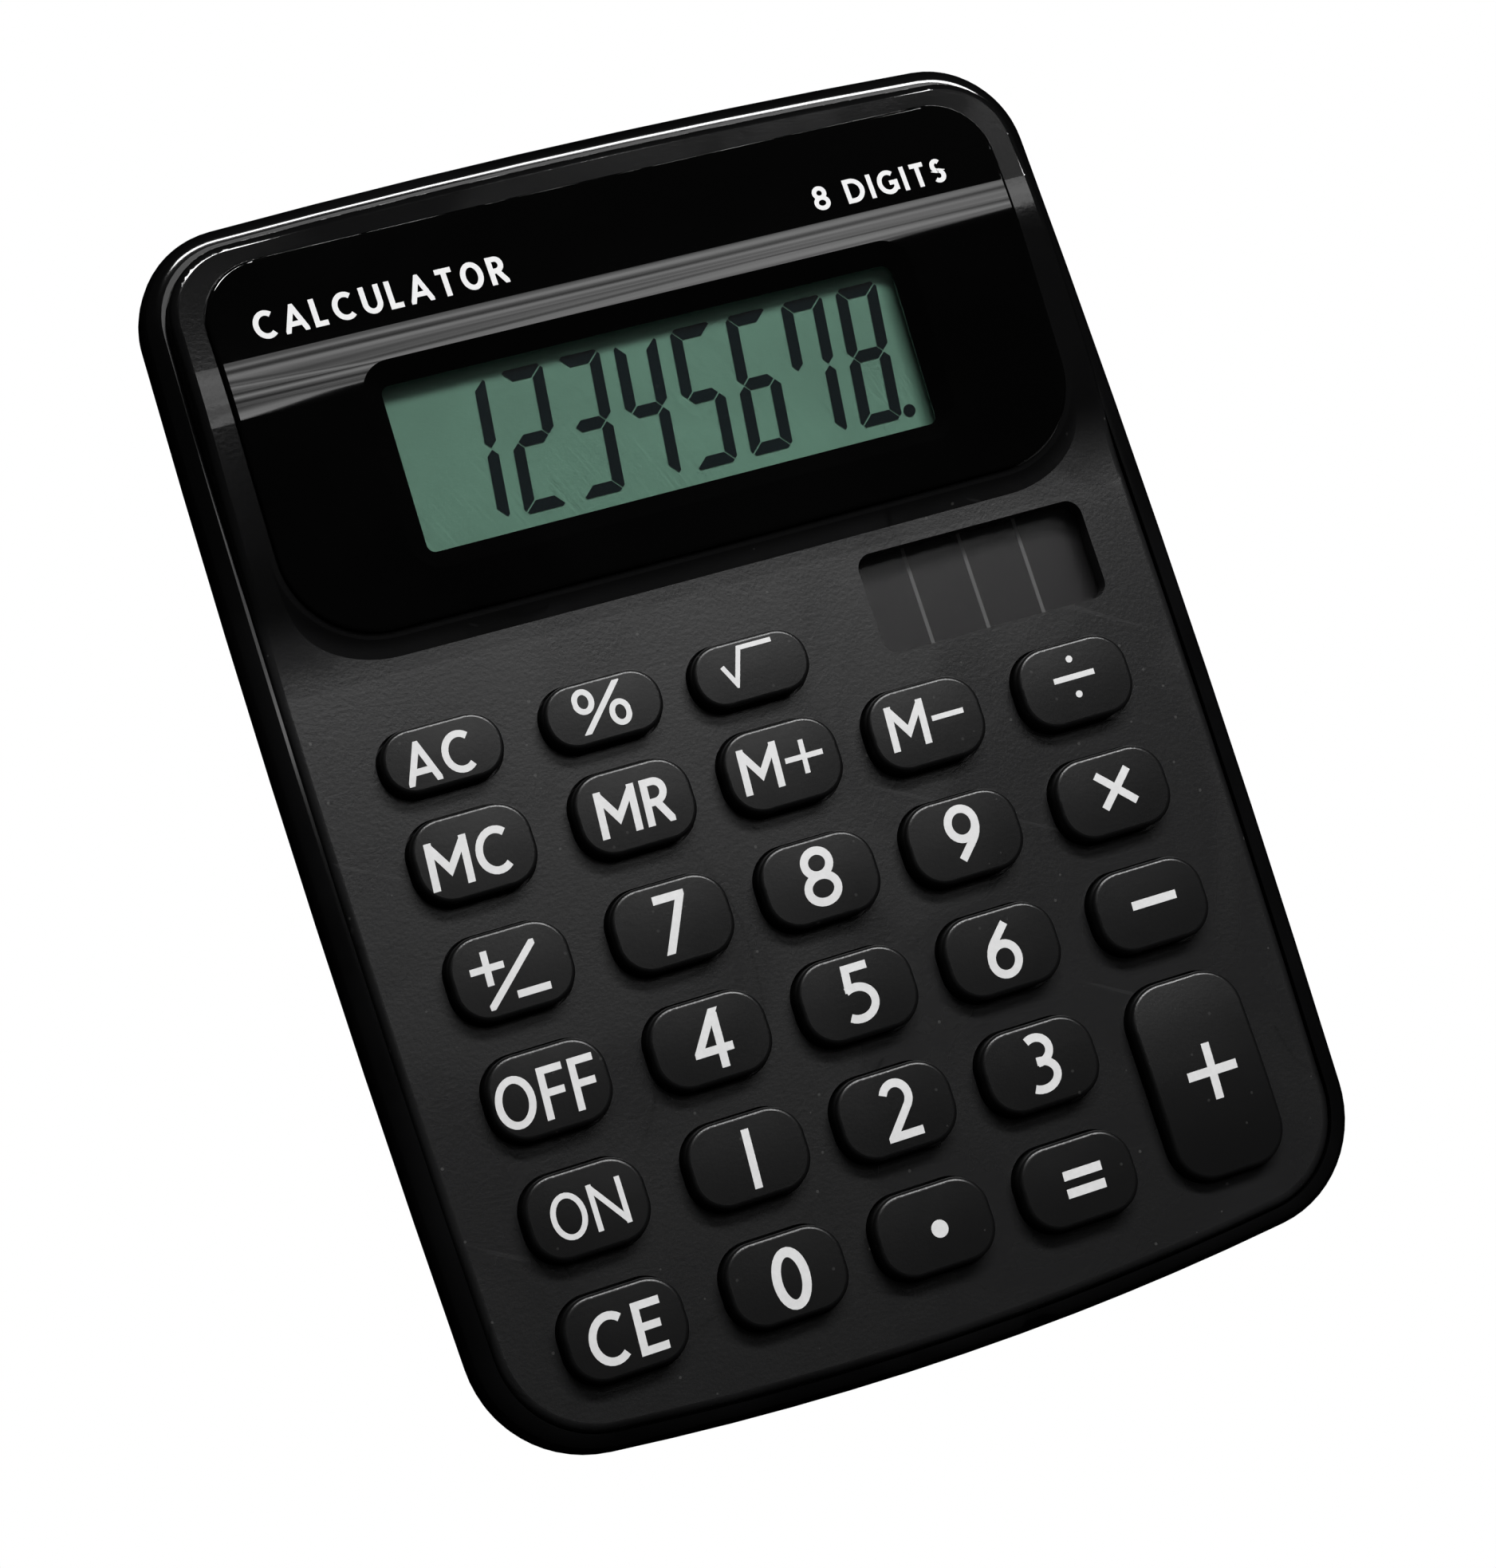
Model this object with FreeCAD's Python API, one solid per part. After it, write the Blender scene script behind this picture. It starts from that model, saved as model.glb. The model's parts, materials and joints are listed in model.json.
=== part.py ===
"""Pocket calculator: two-part case, bent display panel, LCD stack, solar cell, 27 sprung keys,
rubber dome sheet, circuit board and a button cell behind a sliding door.

Millimetres. +X to the right of the person who reads the display, +Y towards the display end,
+Z up out of the keys. The origin is on the table, under the middle of the case.
"""
import FreeCAD, Part
import math
import os

V = FreeCAD.Vector

# ---------------------------------------------------------------- driving sizes, plan
body_width = 87.7
body_length = 116.2
widest_y = 10.0              # where the sides bow out most
side_bow_radius = 1600.0
top_bow_radius = 850.0
bottom_bow_radius = 300.0
rim_corner_top = 9.0
rim_corner_bottom = 11.0
shoulder_side = 2.1          # black shoulder seen outside the upper case
shoulder_top = 2.4
shoulder_bottom = 1.7
side_border = 8.85           # rim to the edge of the outer keys
end_border = 7.55            # rim to the edge of the lowest keys
key_gap_x = 3.2
key_gap_y = 3.17
outer_column_extra = 0.86    # the outer columns stand a little further out
key_corner = 3.1
small_key_length = 5.9
small_key_corner = 2.8
plus_key_corner = 3.6
row_a_below_panel = 11.75    # panel edge to the top row's centre
row_b_below_a = 9.17
display_length = 40.6        # rim at the display end to the panel's lower edge
panel_border_side = 5.45     # rim to the panel
panel_border_top = 5.1
panel_corner_low = 8.5
panel_corner_top = 5.7
window_width = 50.0
window_length = 15.45
window_above_edge = 5.9      # panel edge to the window's lower edge
bevel_side = 1.8
bevel_low = 1.65
bevel_top = 2.3
bevel_corner = 2.9
window_corner = 0.8
glass_corner = 0.8
solar_width = 22.9
solar_length = 9.6
solar_from_side = 7.65       # rim to the solar opening
solar_below_panel = 4.1
solar_corner = 1.5

# ---------------------------------------------------------------- driving sizes, height
foot_proud = 0.6
floor_thickness = 1.8
board_room = 1.2             # under the board, for screw heads and the chip
board_thickness = 1.0
sheet_thickness = 0.8
dome_height = 1.5
flange_thickness = 0.8
skin = 1.8                   # top wall of the upper case
key_proud = 1.9
panel_rise = 1.5             # panel's lower edge above the keypad
panel_proud = 0.5            # panel surface above the strip beside it
panel_thickness = 1.4
panel_tilt = 4.4             # degrees, the part with the window
panel_back_tilt = 4.0        # degrees, the part behind the crest
crest_behind_window = 2.45   # window to the crest of the bend
crest_radius = 36.0
key_travel = 1.1
key_dome_radius = 90.0       # gentle crown of each key top
key_edge = 0.4

# ---------------------------------------------------------------- walls, fits and fasteners
side_wall = 1.8
lower_wall = 3.4
bottom_round = 6.0
shoulder_round = 1.7
upper_edge_round = 0.8
inner_round = 2.2
shell_gap = 0.12             # between the two case halves
panel_gap = 0.15
key_gap = 0.25               # around a key in its opening
key_flange = 0.8
flange_play = 0.1
dome_play = 0.1
seat_lip = 0.7               # flat rim of the seat outside the panel
seat_run = 2.0               # plan width of the ramp
panel_edge_round = 0.3
edge_lip = 0.3               # plain edge of the panel's window, under the bevel
part_gap = 0.1               # between stacked display parts
window_gap = 0.05            # between the clear window and the panel
window_thickness = 0.8
window_lap_side = 2.5        # clear window hidden behind the panel
window_lap_end = 2.0
film_thickness = 0.2
film_lap_low = 1.2
film_lap_top = 1.4
glass_thickness = 0.7
glass_lap_side = 3.0         # glass hidden behind the panel
glass_lap_low = 4.6
glass_lap_top = 2.0
glass_ledge = 3.0            # front glass that stands out below the rear glass
reflector_thickness = 0.2
reflector_margin = 0.6
film_margin = 0.8
holder_wall = 1.8
holder_end_wall = 1.2
holder_low_wall = 0.6
strip_width = 2.2
strip_margin = 1.8
solar_lap = 0.8              # cover and cell hidden behind the case
solar_cover_thickness = 0.8
solar_cell_thickness = 1.05
board_post_r = 1.8
board_screw_r = 0.7
board_head_r = 1.4
board_head = 0.8
case_post_r = 2.3
case_boss_r = 3.0
case_screw_r = 0.85
case_head_r = 1.9
head_depth = 1.2
head_seat = 0.5              # case screw heads above the floor's underside
thread_gap = 0.02
tip_gap = 0.2
post_gap = 0.3               # around posts and bosses
wall_gap = 0.12              # posts and board inside the lower wall
board_margin = 6.3           # rim to the board
board_corner = 2.0
board_wall_gap = 0.6
dome_wall = 0.45
pill_r = 1.3
pill_thickness = 0.25
web_margin = 0.4
cell_diameter = 11.6         # LR1130 button cell
cell_height = 3.05
cell_cap_height = 0.45
cell_lift = 0.15
cell_side_gap = 0.25
cell_above_gap = 0.75
cell_end_gap = 0.9           # cell to the inner round of the end wall
well_wall = 1.6
well_end_wall = 1.1
contact_sheet = 0.3
leaf_sheet = 0.25
leaf_width = 1.8
plate_width = 4.8
lead_r = 0.5
lead_bend = 8.0
door_width = 22.0
door_gap = 0.15
door_below_cell = 9.0
door_lap = 1.2               # tongues beyond the door, each side
grip_grooves = 6
grip_pitch = 1.4
grip_depth = 0.35
foot_r = 4.0
foot_seat = 0.6              # depth of each foot's recess
past = 1.0                   # how far a cut runs past the surface it opens

# ---------------------------------------------------------------- worked-out levels
floor_z = foot_proud
floor_top = floor_z + floor_thickness
board_z = floor_top + board_room
board_top = board_z + board_thickness
web_top = board_top + sheet_thickness
dome_top = web_top + dome_height
flange_z = dome_top + dome_play
flange_top = flange_z + flange_thickness
skin_z = flange_top + flange_play
keypad_z = skin_z + skin
key_top = keypad_z + key_proud
panel_front_z = keypad_z + panel_rise
lip_z = keypad_z - 0.1
skirt_z = skin_z - 1.5
join_z = board_top + 0.4     # where bosses and posts meet
case_tip_z = skin_z + 0.4    # tips of the screws
board_tip_z = skin_z - 0.5
sky = panel_front_z + 20.0   # above everything

# ---------------------------------------------------------------- worked-out places
half_w = body_width / 2
half_l = body_length / 2
panel_low = half_l - display_length
panel_top = half_l - panel_border_top
panel_half = half_w - panel_border_side
crest_y = panel_low + window_above_edge + window_length + crest_behind_window
slope = math.tan(math.radians(panel_tilt))
column = (half_w - side_border + key_gap_x / 2 - outer_column_extra) / 2.5
key_w = column - key_gap_x
outer_column = 2 * column + outer_column_extra
row_a = panel_low - row_a_below_panel
row_b = row_a - row_b_below_a
row = (row_b + half_l - end_border + key_gap_y / 2) / 4.5
key_l = row - key_gap_y
row_c = row_b - row
row_d = row_c - row
row_e = row_d - row
row_f = row_e - row
plus_y = (row_e + row_f) / 2
plus_key_length = row + key_l
columns = [-outer_column, -column, 0.0, column, outer_column]
window_low = panel_low + window_above_edge
window_mid = window_low + window_length / 2
window_top = window_low + window_length
solar_x = half_w - solar_from_side - solar_width / 2
solar_y = panel_low - solar_below_panel - solar_length / 2
foot_start = panel_low - 3.5     # the strip beside the panel starts to rise
foot_end = panel_low + 9.5
cell_y = half_l - lower_wall - inner_round - cell_diameter / 2 - cell_end_gap
cell_top = floor_top + cell_height
well_top = cell_top + well_wall
door_y = cell_y - door_below_cell
door_split_z = floor_top + 2.8   # door and case part here at the display end

node_count = 0


# ---------------------------------------------------------------- plain shapes
def save(name, solids):
    """Write one node: a solid, or a group of separate solids."""
    global node_count
    shape = solids[0] if len(solids) == 1 else Part.makeCompound(solids)
    shape.exportStep("parts/" + name + ".step")
    node_count += 1
    loose = len(shape.Solids)
    print(f"{name:20s} solids {loose:3d} volume {shape.Volume:9.2f} valid {shape.isValid()}")


def box(x0, x1, y0, y1, z0, z1):
    return Part.makeBox(x1 - x0, y1 - y0, z1 - z0, V(x0, y0, z0))


def disc(r, z0, z1, x=0.0, y=0.0):
    return Part.makeCylinder(r, z1 - z0, V(x, y, z0))


def rounded(w, length, r, z0, z1, x=0.0, y=0.0):
    """Upright prism of a rounded rectangle centred on x, y."""
    slab = box(x - w / 2, x + w / 2, y - length / 2, y + length / 2, z0, z1)
    r = min(r, 0.49 * w, 0.49 * length)
    upright = [e for e in slab.Edges if abs(e.Vertexes[0].Z - e.Vertexes[1].Z) > 1e-6]
    return slab.makeFillet(r, upright)


def solid_of(shape):
    """The one solid of a boolean result."""
    return shape.Solids[0] if len(shape.Solids) == 1 else shape


# ---------------------------------------------------------------- bowed outlines
def corner(side_center, side_r, end_center, end_r, r, sign_y):
    """Centre and the two tangent points of a right-hand corner between two bowed sides."""
    r1 = side_r - r
    r2 = end_r - r
    gap = end_center - side_center
    d = gap.Length
    along = (r1 * r1 - r2 * r2 + d * d) / (2 * d)
    across = math.sqrt(r1 * r1 - along * along)
    u = gap * (1 / d)
    n = V(-u.y, u.x, 0)
    both = [side_center + u * along + n * across, side_center + u * along - n * across]
    center = max(both, key=lambda p: p.x + sign_y * p.y)
    on_side = side_center + (center - side_center) * (side_r / r1)
    on_end = end_center + (center - end_center) * (end_r / r2)
    return center, on_side, on_end


def flip(p):
    return V(-p.x, p.y, p.z)


def outline(half, low, high, r_low, r_high, side_r, low_r, high_r, wide_y):
    """Closed wire: four gently bowed sides joined by tangent corner arcs."""
    side = V(half - side_r, wide_y, 0)
    top = V(0, high - high_r, 0)
    bottom = V(0, low + low_r, 0)
    c_hi, s_hi, e_hi = corner(side, side_r, top, high_r, r_high, 1)
    c_lo, s_lo, e_lo = corner(side, side_r, bottom, low_r, r_low, -1)
    k = math.sqrt(0.5)
    m_hi = c_hi + V(k, k, 0) * r_high
    m_lo = c_lo + V(k, -k, 0) * r_low
    ends = [
        (e_lo, m_lo, s_lo),
        (s_lo, V(half, wide_y, 0), s_hi),
        (s_hi, m_hi, e_hi),
        (e_hi, V(0, high, 0), flip(e_hi)),
        (flip(e_hi), flip(m_hi), flip(s_hi)),
        (flip(s_hi), V(-half, wide_y, 0), flip(s_lo)),
        (flip(s_lo), flip(m_lo), flip(e_lo)),
        (flip(e_lo), V(0, low, 0), e_lo),
    ]
    return Part.Wire([Part.Arc(a, b, c).toShape() for a, b, c in ends])


def rim_outline(inset):
    """Widest line of the lower case, moved inwards by inset."""
    return outline(half_w - inset, inset - half_l, half_l - inset, rim_corner_bottom - inset,
                   rim_corner_top - inset, side_bow_radius - inset, bottom_bow_radius - inset,
                   top_bow_radius - inset, widest_y)


def upper_outline(inset):
    """Edge of the upper case, moved inwards by inset."""
    return outline(half_w - shoulder_side - inset, shoulder_bottom - half_l + inset,
                   half_l - shoulder_top - inset, rim_corner_bottom - shoulder_bottom - inset,
                   rim_corner_top - shoulder_side - inset, side_bow_radius - inset,
                   bottom_bow_radius - inset, top_bow_radius - inset, widest_y)


def panel_outline(outset):
    """Edge of the display panel, moved outwards by outset."""
    return outline(panel_half + outset, panel_low - outset, panel_top + outset,
                   panel_corner_low + outset, panel_corner_top + outset, 2 * side_bow_radius,
                   3 * side_bow_radius, 2 * side_bow_radius, (panel_low + panel_top) / 2)


def prism(wire, z0, z1):
    face = Part.Face(wire)
    face.translate(V(0, 0, z0))
    return face.extrude(V(0, 0, z1 - z0))


# ---------------------------------------------------------------- the bent display roof
def seat_z(y):
    """Height of the strip beside the panel, on its tilted part."""
    return panel_front_z - panel_proud + (y - panel_low) * slope


def roof(level, z_low, with_foot):
    """Everything under the display roof moved up by level: tilted part, round crest, back slope."""
    near = -2 * body_length
    far = 2 * body_length
    a = math.radians(panel_tilt)
    b = math.radians(panel_back_tilt)
    run = crest_radius * math.tan((a + b) / 2)
    apex = V(0, crest_y, seat_z(crest_y) + level)
    p1 = apex - V(0, math.cos(a), math.sin(a)) * run
    p2 = apex + V(0, math.cos(b), -math.sin(b)) * run
    center = p1 + V(0, math.sin(a), -math.cos(a)) * crest_radius
    out = apex - center
    middle = center + out * (crest_radius / out.Length)
    end = V(0, far, apex.z - (far - crest_y) * math.tan(b))
    if with_foot:
        start = V(0, near, keypad_z + level)
        f1 = V(0, foot_start, keypad_z + level)
        f2 = V(0, foot_end, seat_z(foot_end) + level)
        reach = (foot_end - foot_start) / 2
        rise = Part.BezierCurve()
        rise.setPoles([f1, f1 + V(0, reach, 0), f2 - V(0, reach, reach * slope), f2])
        edges = [Part.makeLine(start, f1), rise.toShape(), Part.makeLine(f2, p1)]
    else:
        start = V(0, near, seat_z(near) + level)
        edges = [Part.makeLine(start, p1)]
    low = min(z_low, start.z - 1, end.z - 1)
    edges += [Part.Arc(p1, middle, p2).toShape(), Part.makeLine(p2, end)]
    edges += [Part.makeLine(end, V(0, far, low)), Part.makeLine(V(0, far, low), V(0, near, low))]
    edges += [Part.makeLine(V(0, near, low), start)]
    face = Part.Face(Part.Wire(edges))
    face.translate(V(-body_width, 0, 0))
    return face.extrude(V(2 * body_width, 0, 0))


def tilted(shape):
    """Turn a shape built level with the panel's lower edge on to the tilted panel."""
    turned = shape.copy()
    turned.rotate(V(0, panel_low, panel_front_z), V(1, 0, 0), panel_tilt)
    return turned


def depth_box(x, y0, y1, d0, d1, r):
    """Rounded slab x wide each side, from depth d1 to d0 under the panel's tilted surface."""
    slab = rounded(2 * x, y1 - y0, r, panel_front_z - d1, panel_front_z - d0, 0, (y0 + y1) / 2)
    return tilted(slab)


def taper(wire_low, z_low, wire_high, z_high):
    low = wire_low.copy()
    low.translate(V(0, 0, z_low))
    high = wire_high.copy()
    high.translate(V(0, 0, z_high))
    return Part.makeLoft([low, high], True, True)


def flat_wire(w, length, r, y):
    """Rounded rectangle as a wire in the plane z = 0."""
    slab = rounded(w, length, r, 0, 1, 0, y)
    bottom = min(slab.Faces, key=lambda f: f.CenterOfMass.z)
    return bottom.OuterWire


# ---------------------------------------------------------------- where things are fastened
def both_sides(points):
    return points + [(-x, y) for x, y in points]


def below_keys(post_r):
    """Y of a post between the two outer columns, just clear of the lowest keys' flanges."""
    r = min(key_corner + key_flange, 0.49 * (key_l + 2 * key_flange))
    reach = post_r + post_gap + r
    across = (key_gap_x + outer_column_extra) / 2 - key_flange + r
    drop = math.sqrt(max(0.0, reach * reach - across * across))
    return row_f - key_l / 2 - key_flange + r - drop


between_outer = (outer_column + column) / 2
case_screws = both_sides([
    (half_w - 8.4, panel_low + 13.0),
    (half_w - 12.4, half_l - 10.6),
    (between_outer, below_keys(case_post_r)),
])
board_screws = both_sides([
    (between_outer, (row_c + row_d) / 2),
    (column / 2, (row_e + row_f) / 2),
    (half_w - 11.8, panel_low + 2.5),
])
feet = both_sides([(half_w - 13.0, half_l - 20.0), (half_w - 13.0, 13.0 - half_l)])

# key name, column, row, length, corner
keys = [
    ("key_all_clear", 0, row_a, small_key_length, small_key_corner),
    ("key_percent", 1, row_a, small_key_length, small_key_corner),
    ("key_root", 2, row_a, small_key_length, small_key_corner),
    ("key_memory_clear", 0, row_b, key_l, key_corner),
    ("key_memory_recall", 1, row_b, key_l, key_corner),
    ("key_memory_plus", 2, row_b, key_l, key_corner),
    ("key_memory_minus", 3, row_b, key_l, key_corner),
    ("key_divide", 4, row_b, key_l, key_corner),
    ("key_sign", 0, row_c, key_l, key_corner),
    ("key_7", 1, row_c, key_l, key_corner),
    ("key_8", 2, row_c, key_l, key_corner),
    ("key_9", 3, row_c, key_l, key_corner),
    ("key_multiply", 4, row_c, key_l, key_corner),
    ("key_off", 0, row_d, key_l, key_corner),
    ("key_4", 1, row_d, key_l, key_corner),
    ("key_5", 2, row_d, key_l, key_corner),
    ("key_6", 3, row_d, key_l, key_corner),
    ("key_minus", 4, row_d, key_l, key_corner),
    ("key_on", 0, row_e, key_l, key_corner),
    ("key_1", 1, row_e, key_l, key_corner),
    ("key_2", 2, row_e, key_l, key_corner),
    ("key_3", 3, row_e, key_l, key_corner),
    ("key_clear_entry", 0, row_f, key_l, key_corner),
    ("key_0", 1, row_f, key_l, key_corner),
    ("key_point", 2, row_f, key_l, key_corner),
    ("key_equals", 3, row_f, key_l, key_corner),
    ("key_plus", 4, plus_y, plus_key_length, plus_key_corner),
]


# ---------------------------------------------------------------- upper case
def upper_case():
    """Dark upper shell: keypad skin, display roof with the panel's seat, openings and posts."""
    shell = prism(upper_outline(0), skirt_z, sky).common(roof(0, skirt_z - 5, True))
    top_edges = [e for e in shell.Edges if e.BoundBox.ZMin > keypad_z - 0.01
                 and e.BoundBox.YLength + e.BoundBox.XLength > 0.5
                 and not crosses_roof(e)]
    shell = shell.makeFillet(upper_edge_round, top_edges)

    fall = panel_rise - panel_proud
    sink = 2 * fall
    ramp = taper(panel_outline(seat_lip + seat_run * sink / fall), panel_front_z - panel_proud - sink,
                 panel_outline(seat_lip), panel_front_z - panel_proud)
    ramp = tilted(ramp).common(prism(upper_outline(1.5 * upper_edge_round), skirt_z, sky))
    ramp = ramp.common(roof(0, skirt_z - 5, False))
    shell = shell.fuse(ramp)

    inside = prism(upper_outline(side_wall), skirt_z - past, sky)
    inside = inside.common(roof(-skin, skirt_z - 9, True))
    behind = prism(panel_outline(-panel_gap), skirt_z - past, sky)
    behind = behind.common(roof(-skin, skirt_z - 9, False))
    shell = shell.cut(inside).cut(behind)

    under_skin = roof(-skin / 2, join_z - 9, True)
    posts = [disc(case_post_r, join_z, sky, x, y) for x, y in case_screws]
    posts += [disc(board_post_r, board_top, sky, x, y) for x, y in board_screws]
    room = prism(rim_outline(lower_wall + wall_gap), join_z - past, sky)
    posts = [post.common(under_skin).common(room) for post in posts]
    shell = shell.multiFuse(posts)

    pocket = prism(panel_outline(panel_gap), skirt_z, sky)
    pocket = pocket.cut(roof(panel_proud - panel_thickness, skirt_z - 5, False))
    cuts = [pocket]
    reach = window_lap_end + panel_gap
    cuts.append(depth_box(window_width / 2 + window_lap_side + panel_gap, window_low - reach,
                          window_top + reach, panel_thickness - past, panel_thickness + 3 * past,
                          glass_corner + panel_gap))
    cuts.append(rounded(solar_width, solar_length, solar_corner, skin_z - past, sky,
                        solar_x, solar_y))
    for _, col, y, length, r in keys:
        cuts.append(rounded(key_w + 2 * key_gap, length + 2 * key_gap, r + key_gap,
                            skin_z - past, sky, columns[col], y))
    for x, y in case_screws:
        cuts.append(disc(case_screw_r + thread_gap, join_z - past, case_tip_z + tip_gap, x, y))
    for x, y in board_screws:
        cuts.append(disc(board_screw_r + thread_gap, board_top - past, board_tip_z + tip_gap, x, y))
    for cut in cuts:
        shell = shell.cut(cut)
    return solid_of(shell.removeSplitter())


def crosses_roof(edge):
    """True for the seams that run straight across the roof, not round its rim."""
    return edge.BoundBox.YLength < 1e-6 and edge.BoundBox.XLength > body_width / 2


# ---------------------------------------------------------------- lower case and door
def tray():
    """Black lower shell before its bosses: rounded bottom edge, soft shoulder, stepped lip."""
    shell = prism(rim_outline(0), floor_z, lip_z)
    low = [e for e in shell.Edges if e.BoundBox.ZMax < floor_z + 0.01]
    high = [e for e in shell.Edges if e.BoundBox.ZMin > lip_z - 0.01]
    shell = shell.makeFillet(bottom_round, low)
    high = [e for e in shell.Edges if e.BoundBox.ZMin > lip_z - 0.01]
    shell = shell.makeFillet(shoulder_round, high)
    room = prism(rim_outline(lower_wall), floor_top, sky)
    base = [e for e in room.Edges if e.BoundBox.ZMax < floor_top + 0.01]
    room = room.makeFillet(inner_round, base)
    step = prism(upper_outline(-shell_gap), skirt_z - 0.05, sky)
    return shell.cut(room).cut(step)


def door_space(gap):
    """Room of the sliding door, open at the display end, with a tongue each side."""
    half = door_width / 2 + gap
    third = floor_thickness / 3
    reach = half + door_lap
    body = box(-half, half, door_y - gap, body_length, floor_z - past, door_split_z + gap)
    tongues = box(-reach, reach, door_y + 0.5 - gap, body_length, floor_z + third - gap / 2,
                  floor_z + 2 * third + gap / 2)
    return body, tongues


def battery_door(shell):
    """Sliding piece of the lower shell under the cell, with tongues and thumb grooves."""
    body, tongues = door_space(0)
    door = shell.common(body)
    tongues = tongues.common(box(-body_width, body_width, door_y, cell_y + 3.0, 0, floor_top))
    door = door.fuse(tongues)
    for i in range(grip_grooves):
        y = door_y + 4.0 + grip_pitch * i
        door = door.cut(box(-5.0, 5.0, y, y + grip_pitch / 2, floor_z - past,
                            floor_z + grip_depth))
    return solid_of(door.removeSplitter())


def lower_case(shell):
    """Lower shell with screw bosses, foot recesses, battery well and door opening."""
    body, tongues = door_space(door_gap)
    shell = shell.cut(body).cut(tongues)
    opening = door_width / 2 + door_gap
    well_half = opening + well_wall
    cell_r = cell_diameter / 2
    room_top = cell_top + cell_above_gap
    slot = leaf_width / 2 + 0.2
    well = box(-well_half, well_half, door_y - door_gap - 1.4, cell_y + cell_r + well_end_wall,
               floor_top - 0.2, well_top)
    bosses = [disc(case_boss_r, floor_top - 0.2, join_z, x, y) for x, y in case_screws]
    shell = shell.multiFuse(bosses + [well])
    cuts = [box(-opening, opening, door_y - door_gap, body_length, floor_z - past,
                floor_top + door_gap)]
    cuts.append(disc(cell_r + cell_side_gap, floor_z, room_top, 0, cell_y))
    cuts.append(box(-cell_r - 3 * contact_sheet, 0, cell_y - plate_width / 2 - contact_sheet,
                    cell_y + plate_width / 2 + contact_sheet, floor_z, room_top))
    cuts.append(box(-well_half - past, 0, cell_y - slot, cell_y + slot, tail_z - 0.25,
                    tail_z + contact_sheet + 0.25))
    cuts.append(box(0, well_half + past, cell_y - slot, cell_y + slot, leaf_z - 0.1, room_top))
    for x, y in case_screws:
        cuts.append(disc(case_screw_r + 0.2, floor_z - past, sky, x, y))
        cuts.append(disc(case_head_r + 0.2, floor_z - past, floor_z + head_seat + head_depth, x, y))
    for x, y in feet:
        cuts.append(disc(foot_r, floor_z - past, floor_z + foot_seat, x, y))
    for cut in cuts:
        shell = shell.cut(cut)
    return solid_of(shell.removeSplitter())


# ---------------------------------------------------------------- keys
def key(col, y, length, r):
    """Key cap with a gently crowned top, soft edge and a flange that holds it in the case."""
    x = columns[col]
    ball = Part.makeSphere(key_dome_radius, V(x, y, key_top - key_dome_radius))
    cap = rounded(key_w, length, r, flange_z, key_top + past, x, y).common(ball)
    rim = [e for e in cap.Edges if e.BoundBox.ZMin > keypad_z]
    cap = cap.makeFillet(key_edge, rim)
    flange = rounded(key_w + 2 * key_flange, length + 2 * key_flange, r + key_flange,
                     flange_z, flange_top, x, y)
    return solid_of(cap.fuse(flange).removeSplitter())


# ---------------------------------------------------------------- display
def panel():
    """Glossy bent display panel with its bevelled window."""
    plate = prism(panel_outline(0), skirt_z, sky)
    plate = plate.common(roof(panel_proud, skirt_z - 9, False))
    plate = plate.cut(roof(panel_proud - panel_thickness, skirt_z - 9, False))
    edge = [e for e in plate.Edges if on_panel_rim(e)]
    plate = plate.makeFillet(panel_edge_round, edge)
    recess_length = window_length + bevel_low + bevel_top
    recess_mid = window_mid + (bevel_top - bevel_low) / 2
    bevel_depth = panel_thickness - edge_lip
    wide = flat_wire(window_width + 2 * bevel_side, recess_length, bevel_corner, recess_mid)
    tight = flat_wire(window_width, window_length, window_corner, window_mid)
    hole = tilted(taper(tight, panel_front_z - bevel_depth, wide, panel_front_z))
    above = tilted(prism(wide, panel_front_z, panel_front_z + 3 * past))
    through = depth_box(window_width / 2, window_low, window_top, bevel_depth - 0.05,
                        panel_thickness + past, window_corner)
    return solid_of(plate.cut(above).cut(hole).cut(through).removeSplitter())


def on_panel_rim(edge):
    """True for the outer edges of the panel's upper surface."""
    reach = edge.BoundBox
    if reach.YLength < 1e-6 and reach.XLength > panel_half:
        low_or_top = abs(reach.YMin - panel_low) < 1 or abs(reach.YMin - panel_top) < 1
        if not low_or_top:
            return False
    mid = edge.valueAt((edge.FirstParameter + edge.LastParameter) / 2)
    upright = reach.ZLength > 0.9 * panel_thickness and reach.XLength + reach.YLength < 0.3
    if upright:
        return False
    return mid.z > surface_z(mid.y) - 0.3 * panel_thickness


def surface_z(y):
    """Height of the panel's surface."""
    front = seat_z(y) + panel_proud
    back = seat_z(crest_y) + panel_proud - (y - crest_y) * math.tan(math.radians(panel_back_tilt))
    return min(front, back)


clear_depth = panel_thickness + window_gap
film_depth = clear_depth + window_thickness + part_gap
glass_depth = film_depth + film_thickness
ledge_depth = glass_depth + glass_thickness          # to the rear glass
rear_depth = ledge_depth + glass_thickness           # to the reflector
stack_depth = rear_depth + reflector_thickness       # to the back of the reflector
glass_half = window_width / 2 + glass_lap_side
glass_low = window_low - glass_lap_low
glass_top = window_top + glass_lap_top
rear_low = glass_low + glass_ledge
sharp = 0.2                                          # corner of the cut glass


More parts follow.
